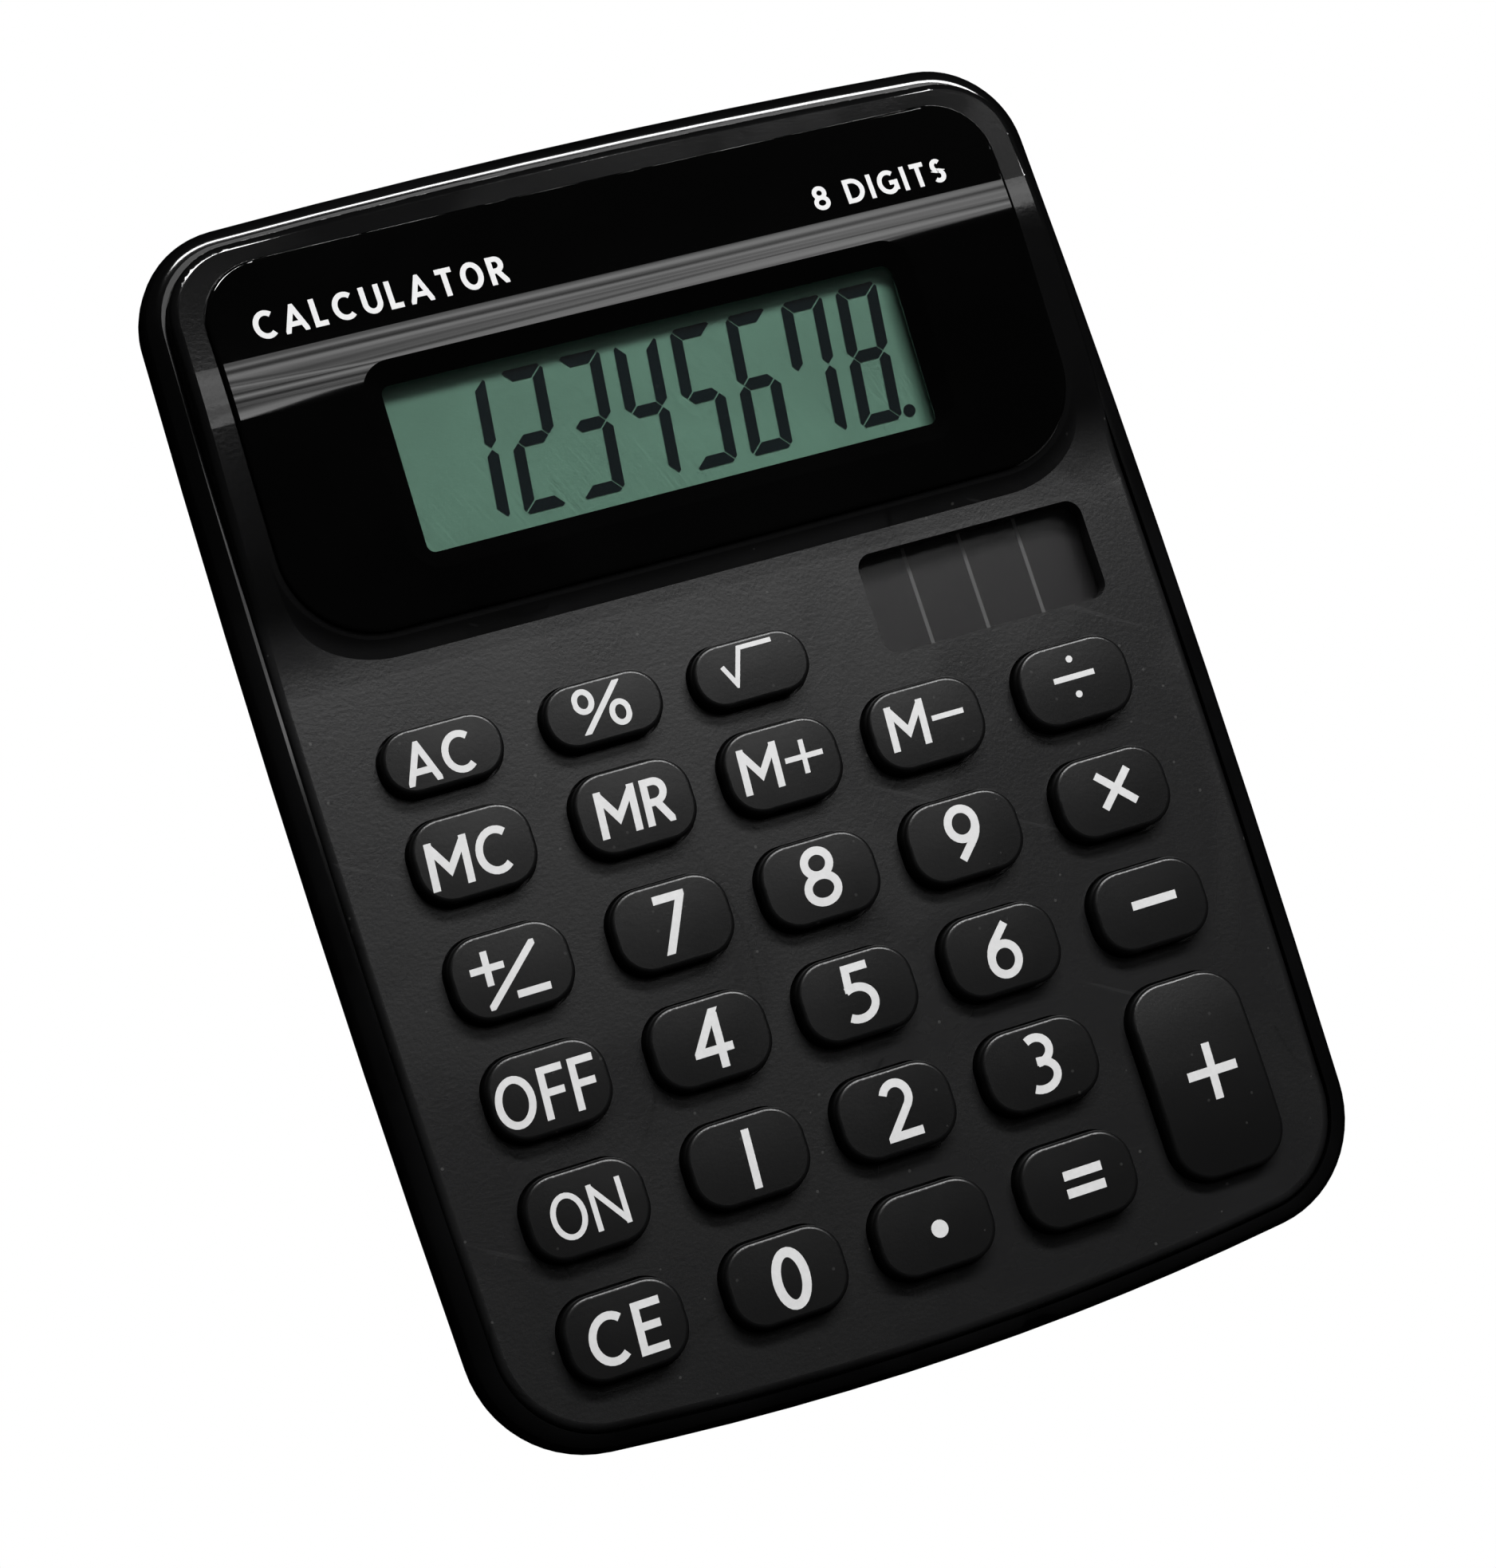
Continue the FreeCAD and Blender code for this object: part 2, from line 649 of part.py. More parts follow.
def lcd_parts():
    """Clear window, polariser, two glasses and reflector, stacked under the panel."""
    clear = depth_box(window_width / 2 + window_lap_side, window_low - window_lap_end,
                      window_top + window_lap_end, clear_depth, clear_depth + window_thickness,
                      glass_corner)
    clear = solid_of(clear.common(roof(panel_proud - clear_depth, skirt_z - 9, False)))
    film = depth_box(glass_half - film_margin, window_low - film_lap_low,
                     window_top + film_lap_top, film_depth, glass_depth, sharp)
    front = depth_box(glass_half, glass_low, glass_top, glass_depth, ledge_depth, sharp)
    rear = depth_box(glass_half, rear_low, glass_top, ledge_depth, rear_depth, sharp)
    mirror = depth_box(glass_half - film_margin, rear_low + reflector_margin,
                       glass_top - reflector_margin, rear_depth, stack_depth, sharp)
    return clear, film, front, rear, mirror


def lcd_holder():
    """Plastic cradle under the glass, with legs on the board and a slot for the strip."""
    outer = depth_box(glass_half + holder_wall, glass_low - holder_low_wall,
                      glass_top + holder_end_wall, glass_depth, stack_depth + 0.9, 1.0)
    room = depth_box(glass_half + part_gap, glass_low - part_gap, glass_top + part_gap, 0,
                     stack_depth + part_gap, sharp)
    light = depth_box(glass_half - 4, rear_low + 2.5, glass_top - 2.5, 0, stack_depth + 3, 1.0)
    slot = box(-strip_half - 0.2, strip_half + 0.2, strip_y - strip_width / 2 - 0.15,
               strip_y + strip_width / 2 + 0.15, board_top, sky)
    shell = outer
    for sign in (-1, 1):
        x = sign * (glass_half + 1.0)
        leg = box(x - 0.7, x + 0.7, glass_low + 0.4, glass_low + 6.0, board_top,
                  panel_front_z - stack_depth)
        shell = shell.fuse(leg)
    return solid_of(shell.cut(room).cut(light).cut(slot).removeSplitter())


strip_half = glass_half - strip_margin
strip_y = glass_low + glass_ledge / 2


def contact_strip():
    """Striped rubber connector between the glass ledge and the board."""
    strip = box(-strip_half, strip_half, strip_y - strip_width / 2, strip_y + strip_width / 2,
                board_top, sky)
    under_ledge = depth_box(glass_half + 5, glass_low - 9, glass_top, ledge_depth,
                            ledge_depth + 20, sharp)
    return solid_of(strip.common(under_ledge))


# ---------------------------------------------------------------- solar cell
def solar_parts():
    """Clear cover, cell and foam pad under the solar opening, and two short leads."""
    w = solar_width + 2 * solar_lap
    length = solar_length + 2 * solar_lap
    cover_z = skin_z - solar_cover_thickness
    plate_top = cover_z - window_gap
    plate_z = plate_top - solar_cell_thickness
    cover = rounded(w, length, glass_corner, cover_z, skin_z, solar_x, solar_y)
    plate = rounded(w, length, sharp, plate_z, plate_top, solar_x, solar_y)
    pad = rounded(w - 5, length - 2, 0.5, board_top, plate_z, solar_x, solar_y)
    leads = [disc(0.4, board_top, plate_z, solar_x + s * (w / 2 - 1.2), solar_y) for s in (-1, 1)]
    return cover, plate, pad, leads


# ---------------------------------------------------------------- dome sheet and board
def dome_sheet():
    """Silicone sheet with a hollow dome and a carbon pill under each key."""
    side = outer_column + key_w / 2
    web = box(-side, side, row_f - key_l / 2 + web_margin, row_b + key_l / 2, board_top, web_top)
    top_strip = box(-side, key_w / 2 + 2 * web_margin, row_b,
                    row_a + small_key_length / 2 + 2 * web_margin, board_top, web_top)
    sheet = web.fuse(top_strip)
    pill_z = board_top + key_travel + part_gap / 2
    hollow_top = pill_z + pill_thickness
    domes = []
    hollows = []
    pills = []
    for _, col, y, length, _ in keys:
        x = columns[col]
        base_r = min(key_w, length) / 2 - 0.6
        top_r = 0.55 * base_r
        hollow_r = base_r - dome_wall
        domes.append(Part.makeCone(base_r, top_r, dome_height, V(x, y, web_top)))
        hollows.append(disc(hollow_r, board_top - past, web_top - 0.1, x, y))
        hollows.append(Part.makeCone(hollow_r, top_r - 0.1, hollow_top - web_top + 0.1,
                                     V(x, y, web_top - 0.1)))
        pills.append(disc(min(pill_r, top_r - 0.2), pill_z, hollow_top, x, y))
    sheet = sheet.multiFuse(domes).removeSplitter()
    for hollow in hollows:
        sheet = sheet.cut(hollow)
    for x, y in board_screws:
        sheet = sheet.cut(disc(board_post_r + post_gap, board_top - past, sky, x, y))
    for x, y in case_screws:
        sheet = sheet.cut(disc(case_boss_r + post_gap, board_top - past, sky, x, y))
    return [solid_of(sheet)] + pills


board_half = half_w - board_margin
board_low = row_f - key_l / 2 + web_margin
board_end = glass_low + 7.2


def circuit_board():
    """Board under the keys, reaching up to the display's contact strip."""
    board = rounded(2 * board_half, board_end - board_low, board_corner, board_z, board_top, 0,
                    (board_low + board_end) / 2)
    board = board.common(prism(rim_outline(lower_wall + board_wall_gap), floor_z, sky))
    for x, y in board_screws:
        board = board.cut(disc(board_screw_r + post_gap / 2, board_z - past, sky, x, y))
    for x, y in case_screws:
        board = board.cut(disc(case_boss_r + post_gap, board_z - past, sky, x, y))
    return solid_of(board)


def board_components():
    """Chip under its resin blob, an electrolytic capacitor and four chip resistors."""
    blob_h = board_room - 0.3
    blob_r = 6.0
    ball_r = (blob_r * blob_r + blob_h * blob_h) / (2 * blob_h)
    blob_x = -column
    blob_y = row_a + 9.5
    ball = Part.makeSphere(ball_r, V(blob_x, blob_y, board_z - blob_h + ball_r))
    side = blob_r + past
    blob = ball.common(box(blob_x - side, blob_x + side, blob_y - side, blob_y + side,
                           board_z - blob_h - past, board_z))
    can_r = 1.4
    can_y = row_a + 6.4
    can = Part.makeCylinder(can_r, 5.0, V(-outer_column, can_y, board_top + can_r), V(1, 0, 0))
    chips = []
    for i in range(4):
        x = -column + 3.0 * i
        chips.append(box(x, x + 1.6, can_y, can_y + 0.8, board_top, board_top + 0.45))
    return blob, can, chips


# ---------------------------------------------------------------- fasteners, feet and power
def pan_screw(x, y, head_z, head_r, head_h, shank_r, tip_z):
    """Screw driven upwards: cross-recessed head below, shank above."""
    head = disc(head_r, head_z - head_h, head_z, x, y)
    rim = [e for e in head.Edges if e.BoundBox.ZMax < head_z - head_h + 0.01 and e.Closed]
    head = head.makeFillet(0.3 * head_h, rim)
    shank = disc(shank_r, head_z, tip_z - shank_r, x, y)
    tip = Part.makeCone(shank_r, 0.3 * shank_r, shank_r, V(x, y, tip_z - shank_r))
    body = head.fuse(shank).fuse(tip)
    slot = 0.28 * head_r
    reach = 0.62 * head_r
    for a, b in ((slot, reach), (reach, slot)):
        body = body.cut(box(x - a, x + a, y - b, y + b, head_z - head_h - past,
                            head_z - 0.45 * head_h))
    return solid_of(body.removeSplitter())


def rubber_foot(x, y):
    foot = disc(foot_r - 0.05, 0, floor_z + foot_seat, x, y)
    rim = [e for e in foot.Edges if e.Closed and e.BoundBox.ZMax < 0.01]
    return foot.makeFillet(0.3, rim)


cell_z = floor_top + cell_lift
tail_z = floor_top + 1.95        # tail of the side contact, out through the well's wall
leaf_z = cell_top + 0.45         # leaf over the cell


def button_cell():
    """Steel can with its smaller cap upwards."""
    shoulder_z = cell_z + cell_height - cell_cap_height
    can = disc(cell_diameter / 2, cell_z, shoulder_z, 0, cell_y)
    cap = disc(cell_diameter / 2 - 1.0, shoulder_z, cell_z + cell_height, 0, cell_y)
    rims = [e for e in can.Edges if e.Closed]
    return solid_of(can.makeFillet(0.3, rims).fuse(cap).removeSplitter())


def contacts():
    """Side contact for the can and a leaf with a dimple over the cap."""
    side_x = -cell_diameter / 2 - contact_sheet - 0.05
    out = door_width / 2 + door_gap + 2 * well_wall
    half_plate = plate_width / 2
    half_leaf = leaf_width / 2
    plate = box(side_x, side_x + contact_sheet, cell_y - half_plate, cell_y + half_plate,
                floor_top + 0.3, cell_top)
    tail = box(-out, side_x + 0.1, cell_y - half_leaf, cell_y + half_leaf, tail_z,
               tail_z + contact_sheet)
    plus = solid_of(plate.fuse(tail).removeSplitter())
    leaf = box(-4.0, out, cell_y - half_leaf, cell_y + half_leaf, leaf_z, leaf_z + leaf_sheet)
    touch_z = cell_z + cell_height + thread_gap
    dimple = Part.makeCone(0.6, 1.2, leaf_z - touch_z, V(0, cell_y, touch_z))
    minus = solid_of(leaf.fuse(dimple).removeSplitter())
    return plus, minus


def wire(points, r, bend):
    """Round lead along straight runs joined by tangent arcs of radius bend."""
    edges = []
    last = points[0]
    for i in range(1, len(points) - 1):
        p = points[i]
        a = (points[i - 1] - p).normalize()
        b = (points[i + 1] - p).normalize()
        half_turn = (math.pi - a.getAngle(b)) / 2
        cut = bend * math.tan(half_turn)
        middle = (a + b).normalize()
        center = p + middle * (bend / math.cos(half_turn))
        edges.append(Part.makeLine(last, p + a * cut))
        edges.append(Part.Arc(p + a * cut, center - middle * bend, p + b * cut).toShape())
        last = p + b * cut
    edges.append(Part.makeLine(last, points[-1]))
    path = Part.Wire(edges)
    start = points[0]
    ring = Part.Wire(Part.makeCircle(r, start, points[1] - points[0]))
    return path.makePipeShell([ring], True, False)


def battery_leads():
    """Two insulated leads from the contacts to the board, one each side of the well."""
    out = door_width / 2 + door_gap + 2 * well_wall - 0.6
    low = board_top + lead_r + thread_gap
    leads = []
    for sign, z in ((-1, tail_z + contact_sheet + lead_r), (1, leaf_z - lead_r)):
        points = [V(sign * out, cell_y, z), V(sign * out, cell_y - 6, z),
                  V(sign * out, cell_y - 12, low), V(sign * (out + 2), board_end - 2.5, low)]
        leads.append(wire(points, lead_r, lead_bend))
    return leads


# ---------------------------------------------------------------- make everything
os.makedirs("parts", exist_ok=True)

shell = tray()
save("lower_case", [lower_case(shell)])
save("battery_door", [battery_door(shell)])
save("upper_case", [upper_case()])
save("display_panel", [panel()])
clear, film, front, rear, mirror = lcd_parts()
save("display_window", [clear])
save("front_polariser", [film])
save("lcd_front_glass", [front])
save("lcd_rear_glass", [rear])
save("lcd_reflector", [mirror])
save("lcd_holder", [lcd_holder()])
save("contact_strip", [contact_strip()])
cover, plate, pad, leads = solar_parts()
save("solar_cover", [cover])
save("solar_cell", [plate])
save("solar_pad", [pad])
save("solar_leads", leads)
save("dome_sheet", dome_sheet())
save("circuit_board", [circuit_board()])
blob, can, chips = board_components()
save("chip_blob", [blob])
save("board_capacitor", [can])
save("board_resistors", chips)
save("board_screws", [pan_screw(x, y, board_z, board_head_r, board_head, board_screw_r,
                                board_tip_z) for x, y in board_screws])
save("case_screws", [pan_screw(x, y, floor_z + head_seat + head_depth, case_head_r, head_depth,
                               case_screw_r, case_tip_z) for x, y in case_screws])
save("rubber_feet", [rubber_foot(x, y) for x, y in feet])
save("button_cell", [button_cell()])
plus, minus = contacts()
save("positive_contact", [plus])
save("negative_contact", [minus])
save("battery_leads", battery_leads())
for name, col, y, length, r in keys:
    save(name, [key(col, y, length, r)])
print("nodes", node_count)
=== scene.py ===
"""Looks of a pocket calculator: moulded plastics, printed legends, the figures in its display,
the solar cell, the rubber domes under the keys and the circuit board behind them."""

import json
import math

import bmesh
import bpy
from bpy.props import (FloatProperty, FloatVectorProperty, IntProperty, PointerProperty,
                       StringProperty)
from mathutils import Matrix, Vector, geometry
from mathutils.bvhtree import BVHTree
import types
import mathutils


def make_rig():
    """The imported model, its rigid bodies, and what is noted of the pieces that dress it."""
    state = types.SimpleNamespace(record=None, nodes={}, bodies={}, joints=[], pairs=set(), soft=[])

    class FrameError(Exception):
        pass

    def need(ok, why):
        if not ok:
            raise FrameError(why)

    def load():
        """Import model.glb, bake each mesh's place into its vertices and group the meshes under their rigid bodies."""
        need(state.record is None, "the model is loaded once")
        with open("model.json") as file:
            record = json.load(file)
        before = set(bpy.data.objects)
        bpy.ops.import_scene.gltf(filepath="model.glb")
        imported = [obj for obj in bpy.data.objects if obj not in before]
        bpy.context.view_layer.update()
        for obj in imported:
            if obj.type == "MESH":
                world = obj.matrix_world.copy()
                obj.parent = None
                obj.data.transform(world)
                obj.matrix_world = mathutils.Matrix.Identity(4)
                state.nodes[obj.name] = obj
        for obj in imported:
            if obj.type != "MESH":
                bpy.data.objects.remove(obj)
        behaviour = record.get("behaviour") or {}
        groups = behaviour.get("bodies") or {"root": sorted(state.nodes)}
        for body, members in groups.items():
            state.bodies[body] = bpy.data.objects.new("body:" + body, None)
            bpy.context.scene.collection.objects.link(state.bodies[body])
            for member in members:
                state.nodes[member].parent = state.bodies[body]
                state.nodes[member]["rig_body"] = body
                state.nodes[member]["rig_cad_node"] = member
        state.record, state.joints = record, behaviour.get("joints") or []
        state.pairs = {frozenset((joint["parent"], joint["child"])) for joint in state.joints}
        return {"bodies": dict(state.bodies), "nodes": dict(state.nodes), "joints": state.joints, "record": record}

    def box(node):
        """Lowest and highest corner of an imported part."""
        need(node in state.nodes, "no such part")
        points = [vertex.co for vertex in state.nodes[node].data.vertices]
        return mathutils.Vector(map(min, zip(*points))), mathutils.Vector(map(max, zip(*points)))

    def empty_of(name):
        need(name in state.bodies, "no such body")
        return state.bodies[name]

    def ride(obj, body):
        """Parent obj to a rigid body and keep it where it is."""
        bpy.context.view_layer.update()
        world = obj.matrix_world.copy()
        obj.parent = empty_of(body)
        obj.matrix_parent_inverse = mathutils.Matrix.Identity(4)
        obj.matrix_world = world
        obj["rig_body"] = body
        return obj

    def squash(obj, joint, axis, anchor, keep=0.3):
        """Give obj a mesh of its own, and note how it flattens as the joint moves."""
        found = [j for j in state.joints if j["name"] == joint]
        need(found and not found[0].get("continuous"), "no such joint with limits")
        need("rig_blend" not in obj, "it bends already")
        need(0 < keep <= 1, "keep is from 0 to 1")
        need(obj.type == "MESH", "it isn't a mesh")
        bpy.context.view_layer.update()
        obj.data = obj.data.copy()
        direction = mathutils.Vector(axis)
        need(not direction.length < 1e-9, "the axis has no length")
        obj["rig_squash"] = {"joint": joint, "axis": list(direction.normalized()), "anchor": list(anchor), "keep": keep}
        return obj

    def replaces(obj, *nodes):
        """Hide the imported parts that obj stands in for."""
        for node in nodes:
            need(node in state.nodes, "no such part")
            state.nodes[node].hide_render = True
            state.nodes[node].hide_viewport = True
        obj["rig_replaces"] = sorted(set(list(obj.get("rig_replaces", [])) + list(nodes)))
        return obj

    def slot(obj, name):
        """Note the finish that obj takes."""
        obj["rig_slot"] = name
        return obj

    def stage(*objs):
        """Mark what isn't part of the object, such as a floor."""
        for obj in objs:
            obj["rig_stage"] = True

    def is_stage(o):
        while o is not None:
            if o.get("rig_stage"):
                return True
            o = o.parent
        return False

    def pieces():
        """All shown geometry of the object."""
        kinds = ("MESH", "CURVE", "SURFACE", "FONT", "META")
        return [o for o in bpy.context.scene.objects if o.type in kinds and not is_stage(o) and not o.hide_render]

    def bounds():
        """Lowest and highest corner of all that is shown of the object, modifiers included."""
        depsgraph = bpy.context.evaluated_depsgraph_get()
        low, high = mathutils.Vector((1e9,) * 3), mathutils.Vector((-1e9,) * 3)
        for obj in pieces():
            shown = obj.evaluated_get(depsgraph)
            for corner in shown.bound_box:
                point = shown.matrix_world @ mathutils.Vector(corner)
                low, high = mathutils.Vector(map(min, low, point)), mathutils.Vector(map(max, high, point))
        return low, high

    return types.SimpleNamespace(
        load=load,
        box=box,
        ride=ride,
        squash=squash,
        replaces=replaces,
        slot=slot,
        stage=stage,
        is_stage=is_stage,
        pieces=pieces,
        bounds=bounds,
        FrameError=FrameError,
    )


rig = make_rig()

bl_info = {
    "name": "Pocket calculator looks",
    "version": (1, 0, 0),
    "blender": (4, 5, 0),
    "location": "3D View > Sidebar > Calculator",
    "description": "Finishes, legends and small pieces of a pocket calculator",
    "category": "Object",
}

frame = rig.load()
NODES = frame["nodes"]
KEYS = sorted(name for name in NODES if name.startswith("key_"))
CAD_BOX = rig.bounds()
MM = 0.001
RIGHT = Vector((1, 0, 0))
UP = Vector((0, 0, 1))
FLAT = 0.9999           # facets count as one flat face down to this cosine between them
WELD = 1e-6             # points closer than this are joined, in metres
SHARP = math.radians(35)    # bends above this are shaded as edges
PILL_LIMIT = 0.01       # a carbon pill is narrower than this, in metres
WHITE = (1, 1, 1, 1)
DUST = (0.3, 0.3, 0.29)


# ---------- places read from the frame
def middle(node):
    low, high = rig.box(node)
    return (low + high) / 2


def size(node):
    low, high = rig.box(node)
    return high - low


def front_plane(node):
    """Middle, right, up-slope and outward axes of the largest face of a tilted plate."""
    mesh = NODES[node].data
    upward = [p for p in mesh.polygons if p.normal.z > 0.5]
    out = max(upward, key=lambda p: p.area).normal.copy()
    slope = out.cross(RIGHT)
    flat = [p for p in upward if p.normal.dot(out) > FLAT]
    points = [mesh.vertices[i].co for p in flat for i in p.vertices]
    along = [p.dot(slope) for p in points]
    across = [p.x for p in points]
    depth = max(p.dot(out) for p in points)
    centre = (RIGHT * (min(across) + max(across)) / 2 + slope * (min(along) + max(along)) / 2
              + out * depth)
    return centre, RIGHT, slope, out


def merged(node):
    """Copy of a CAD node's mesh as bmesh, with its loose triangles joined."""
    shape = bmesh.new()
    shape.from_mesh(NODES[node].data)
    bmesh.ops.remove_doubles(shape, verts=shape.verts, dist=WELD)
    return shape


def solids(node):
    """Lowest and highest corner of each separate solid in a node."""
    shape = merged(node)
    left = set(shape.verts)
    boxes = []
    while left:
        edge = [left.pop()]
        part = []
        while edge:
            vertex = edge.pop()
            part.append(vertex.co.copy())
            for link in vertex.link_edges:
                other = link.other_vert(vertex)
                if other in left:
                    left.remove(other)
                    edge.append(other)
        boxes.append([Vector([end(p[i] for p in part) for i in range(3)]) for end in (min, max)])
    shape.free()
    return boxes


def surface(node):
    """Function that gives the height of a node's upper surface at x, y."""
    mesh = NODES[node].data
    tree = BVHTree.FromPolygons([v.co for v in mesh.vertices], [p.vertices for p in mesh.polygons])

    def height(x, y):
        hit = tree.ray_cast(Vector((x, y, 1.0)), -UP)[0]
        if hit is None:
            raise ValueError(f"{node} has nothing under {x:.4f}, {y:.4f}")
        return hit.z

    return height


# ---------- meshes
def placed(name, data):
    """New object in the scene."""
    obj = bpy.data.objects.new(name, data)
    bpy.context.scene.collection.objects.link(obj)
    return obj


def piece(name, points, faces, material, slot, body="root", smooth=False):
    """New piece in the frame's metres, riding on a body."""
    mesh = bpy.data.meshes.new(name)
    mesh.from_pydata([tuple(p) for p in points], [], faces)
    mesh.materials.append(material)
    if smooth:
        mesh.shade_smooth()
        mesh.set_sharp_from_angle(angle=SHARP)
    obj = placed(name, mesh)
    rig.slot(obj, slot)
    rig.ride(obj, body)
    return obj


def flat_shape(polygons):
    """Points and triangles that cover overlapping convex polygons once."""
    points = []
    faces = []
    limits = []
    for polygon in polygons:
        faces.append(list(range(len(points), len(points) + len(polygon))))
        points += [Vector(p) for p in polygon]
        limits.append([f(p[i] for p in polygon) for i in (0, 1) for f in (min, max)])
    flat, _, found, _, _, _ = geometry.delaunay_2d_cdt(points, [], faces, 0, 1e-4)
    triangles = []
    for triangle in found:
        a, b, c = (flat[i] for i in triangle)
        spot = (a + b + c) / 3
        near = [polygon for polygon, (x0, x1, y0, y1) in zip(polygons, limits)
                if x0 <= spot.x <= x1 and y0 <= spot.y <= y1]
        if any(covers(polygon, spot) for polygon in near):
            turn = (b - a).cross(c - a)
            triangles.append(tuple(triangle) if turn > 0 else tuple(reversed(triangle)))
    return flat, triangles


def covers(polygon, spot):
    """True where a spot lies inside a convex polygon."""
    turns = [(polygon[i] - p).cross(spot - p) for i, p in enumerate(polygon, 1 - len(polygon))]
    return min(turns) >= 0 or max(turns) <= 0


def slab(flat, triangles, front, back):
    """Closed plate: triangles laid on front(x, y), the same again on back(x, y), and a wall."""
    count = len(flat)
    points = [front(*p) for p in flat] + [back(*p) for p in flat]
    faces = list(triangles)
    faces += [tuple(i + count for i in reversed(t)) for t in triangles]
    edges = {(t[i], t[(i + 1) % 3]) for t in triangles for i in range(3)}
    faces += [(b, a, a + count, b + count) for a, b in sorted(edges) if (b, a) not in edges]
    return points, faces


def lathe(profile, x, y, steps=32):
    """Closed turned shape: profile points are radius and height, from the axis to the axis."""
    points = []
    faces = []
    rings = []
    for r, z in profile:
        if r < 1e-9:
            rings.append([len(points)] * steps)
            points.append(Vector((x, y, z)))
            continue
        rings.append(list(range(len(points), len(points) + steps)))
        for i in range(steps):
            a = 2 * math.pi * i / steps
            points.append(Vector((x + r * math.cos(a), y + r * math.sin(a), z)))
    for low, high in zip(rings, rings[1:]):
        for i in range(steps):
            j = (i + 1) % steps
            corners = [low[i], low[j], high[j], high[i]]
            faces.append(tuple(dict.fromkeys(corners)))
    return points, faces


# ---------- shader nodes
def add(tree, kind, inputs=None, **settings):
    """New shader node with its settings, and its named inputs set or linked."""
    node = tree.nodes.new("ShaderNode" + kind)
    for key, value in settings.items():
        setattr(node, key, value)
    for key, value in (inputs or {}).items():
        if isinstance(value, bpy.types.NodeSocket):
            tree.links.new(value, node.inputs[key])
        else:
            node.inputs[key].default_value = value
    return node


def maths(tree, operation, a, b=0.0):
    return add(tree, "Math", {0: a, 1: b}, operation=operation).outputs[0]


def ramp(tree, value, low, high, to_low=0.0, to_high=1.0):
    """Smooth step of a value from low to high."""
    return add(tree, "MapRange", {"Value": value, "From Min": low, "From Max": high,
               "To Min": to_low, "To Max": to_high}, interpolation_type="SMOOTHSTEP").outputs[0]


def colour_mix(tree, factor, a, b):
    node = add(tree, "Mix", {0: factor, 6: a, 7: b}, data_type="RGBA")
    return node.outputs[2]


def noise(tree, vector, scale, **inputs):
    return add(tree, "TexNoise",
               {"Vector": vector, "Scale": scale, **inputs}).outputs["Fac"]


def group(name, inputs, outputs):
    """Empty shader node group with float inputs, a Vector input and float outputs."""
    tree = bpy.data.node_groups.new(name, "ShaderNodeTree")
    tree.interface.new_socket("Vector", in_out="INPUT", socket_type="NodeSocketVector")
    for label, value in inputs.items():
        socket = tree.interface.new_socket(label, in_out="INPUT", socket_type="NodeSocketFloat")
        socket.default_value = value
    for label in outputs:
        tree.interface.new_socket(label, in_out="OUTPUT", socket_type="NodeSocketFloat")
    return tree, tree.nodes.new("NodeGroupInput").outputs, tree.nodes.new("NodeGroupOutput").inputs


def moulded_grain():
    """Fine spark-eroded texture: a dense noise with small pits."""
    tree, given, out = group("Moulded grain", {"Scale": 4000.0}, ["Height"])
    cloud = noise(tree, given["Vector"], given["Scale"], Detail=3.0, Roughness=0.6)
    wide = maths(tree, "MULTIPLY", given["Scale"], 0.6)
    pits = add(tree, "TexVoronoi", {"Vector": given["Vector"], "Scale": wide},
               feature="SMOOTH_F1").outputs["Distance"]
    tree.links.new(maths(tree, "ADD", cloud, maths(tree, "MULTIPLY", pits, 0.5)), out["Height"])


def smudges():
    """Soft cloudy patches left by handling."""
    tree, given, out = group("Smudges", {"Scale": 40.0}, ["Mask"])
    wide = noise(tree, given["Vector"], given["Scale"], Detail=4.0, Roughness=0.55, Distortion=0.6)
    tree.links.new(ramp(tree, wide, 0.35, 0.7), out["Mask"])


def flow_lines():
    """Thin curved lines: the level lines of a slow noise, shown only in patches."""
    tree, given, out = group("Flow lines", {"Scale": 18.0, "Width": 0.004, "Cover": 0.5}, ["Mask"])
    slow = noise(tree, given["Vector"], given["Scale"], Detail=1.0, Distortion=0.8)
    away = maths(tree, "ABSOLUTE", maths(tree, "SUBTRACT", slow, 0.5))
    line = maths(tree, "SUBTRACT", 1.0, maths(tree, "DIVIDE", away, given["Width"]))
    patch_scale = maths(tree, "MULTIPLY", given["Scale"], 1.7)
    patch = noise(tree, given["Vector"], patch_scale, Detail=1.0)
    shown = maths(tree, "GREATER_THAN", given["Cover"], patch)
    line = maths(tree, "MULTIPLY", maths(tree, "MAXIMUM", line, 0.0), shown)
    tree.links.new(line, out["Mask"])


def scratches():
    """Short straight hairline scratches in one direction."""
    tree, given, out = group("Scratches", {"Scale": 300.0, "Angle": 0.3, "Cover": 0.3}, ["Mask"])
    turned = add(tree, "VectorRotate", {"Vector": given["Vector"],
                 "Angle": given["Angle"]}, rotation_type="Z_AXIS").outputs[0]
    drawn = add(tree, "VectorMath", {0: turned, 1: (0.03, 1.0, 1.0)},
                operation="MULTIPLY").outputs[0]
    fine = noise(tree, drawn, given["Scale"], Detail=2.0)
    limit = maths(tree, "SUBTRACT", 1.0, given["Cover"])
    tree.links.new(ramp(tree, fine, limit, maths(tree, "ADD", limit, 0.03)), out["Mask"])


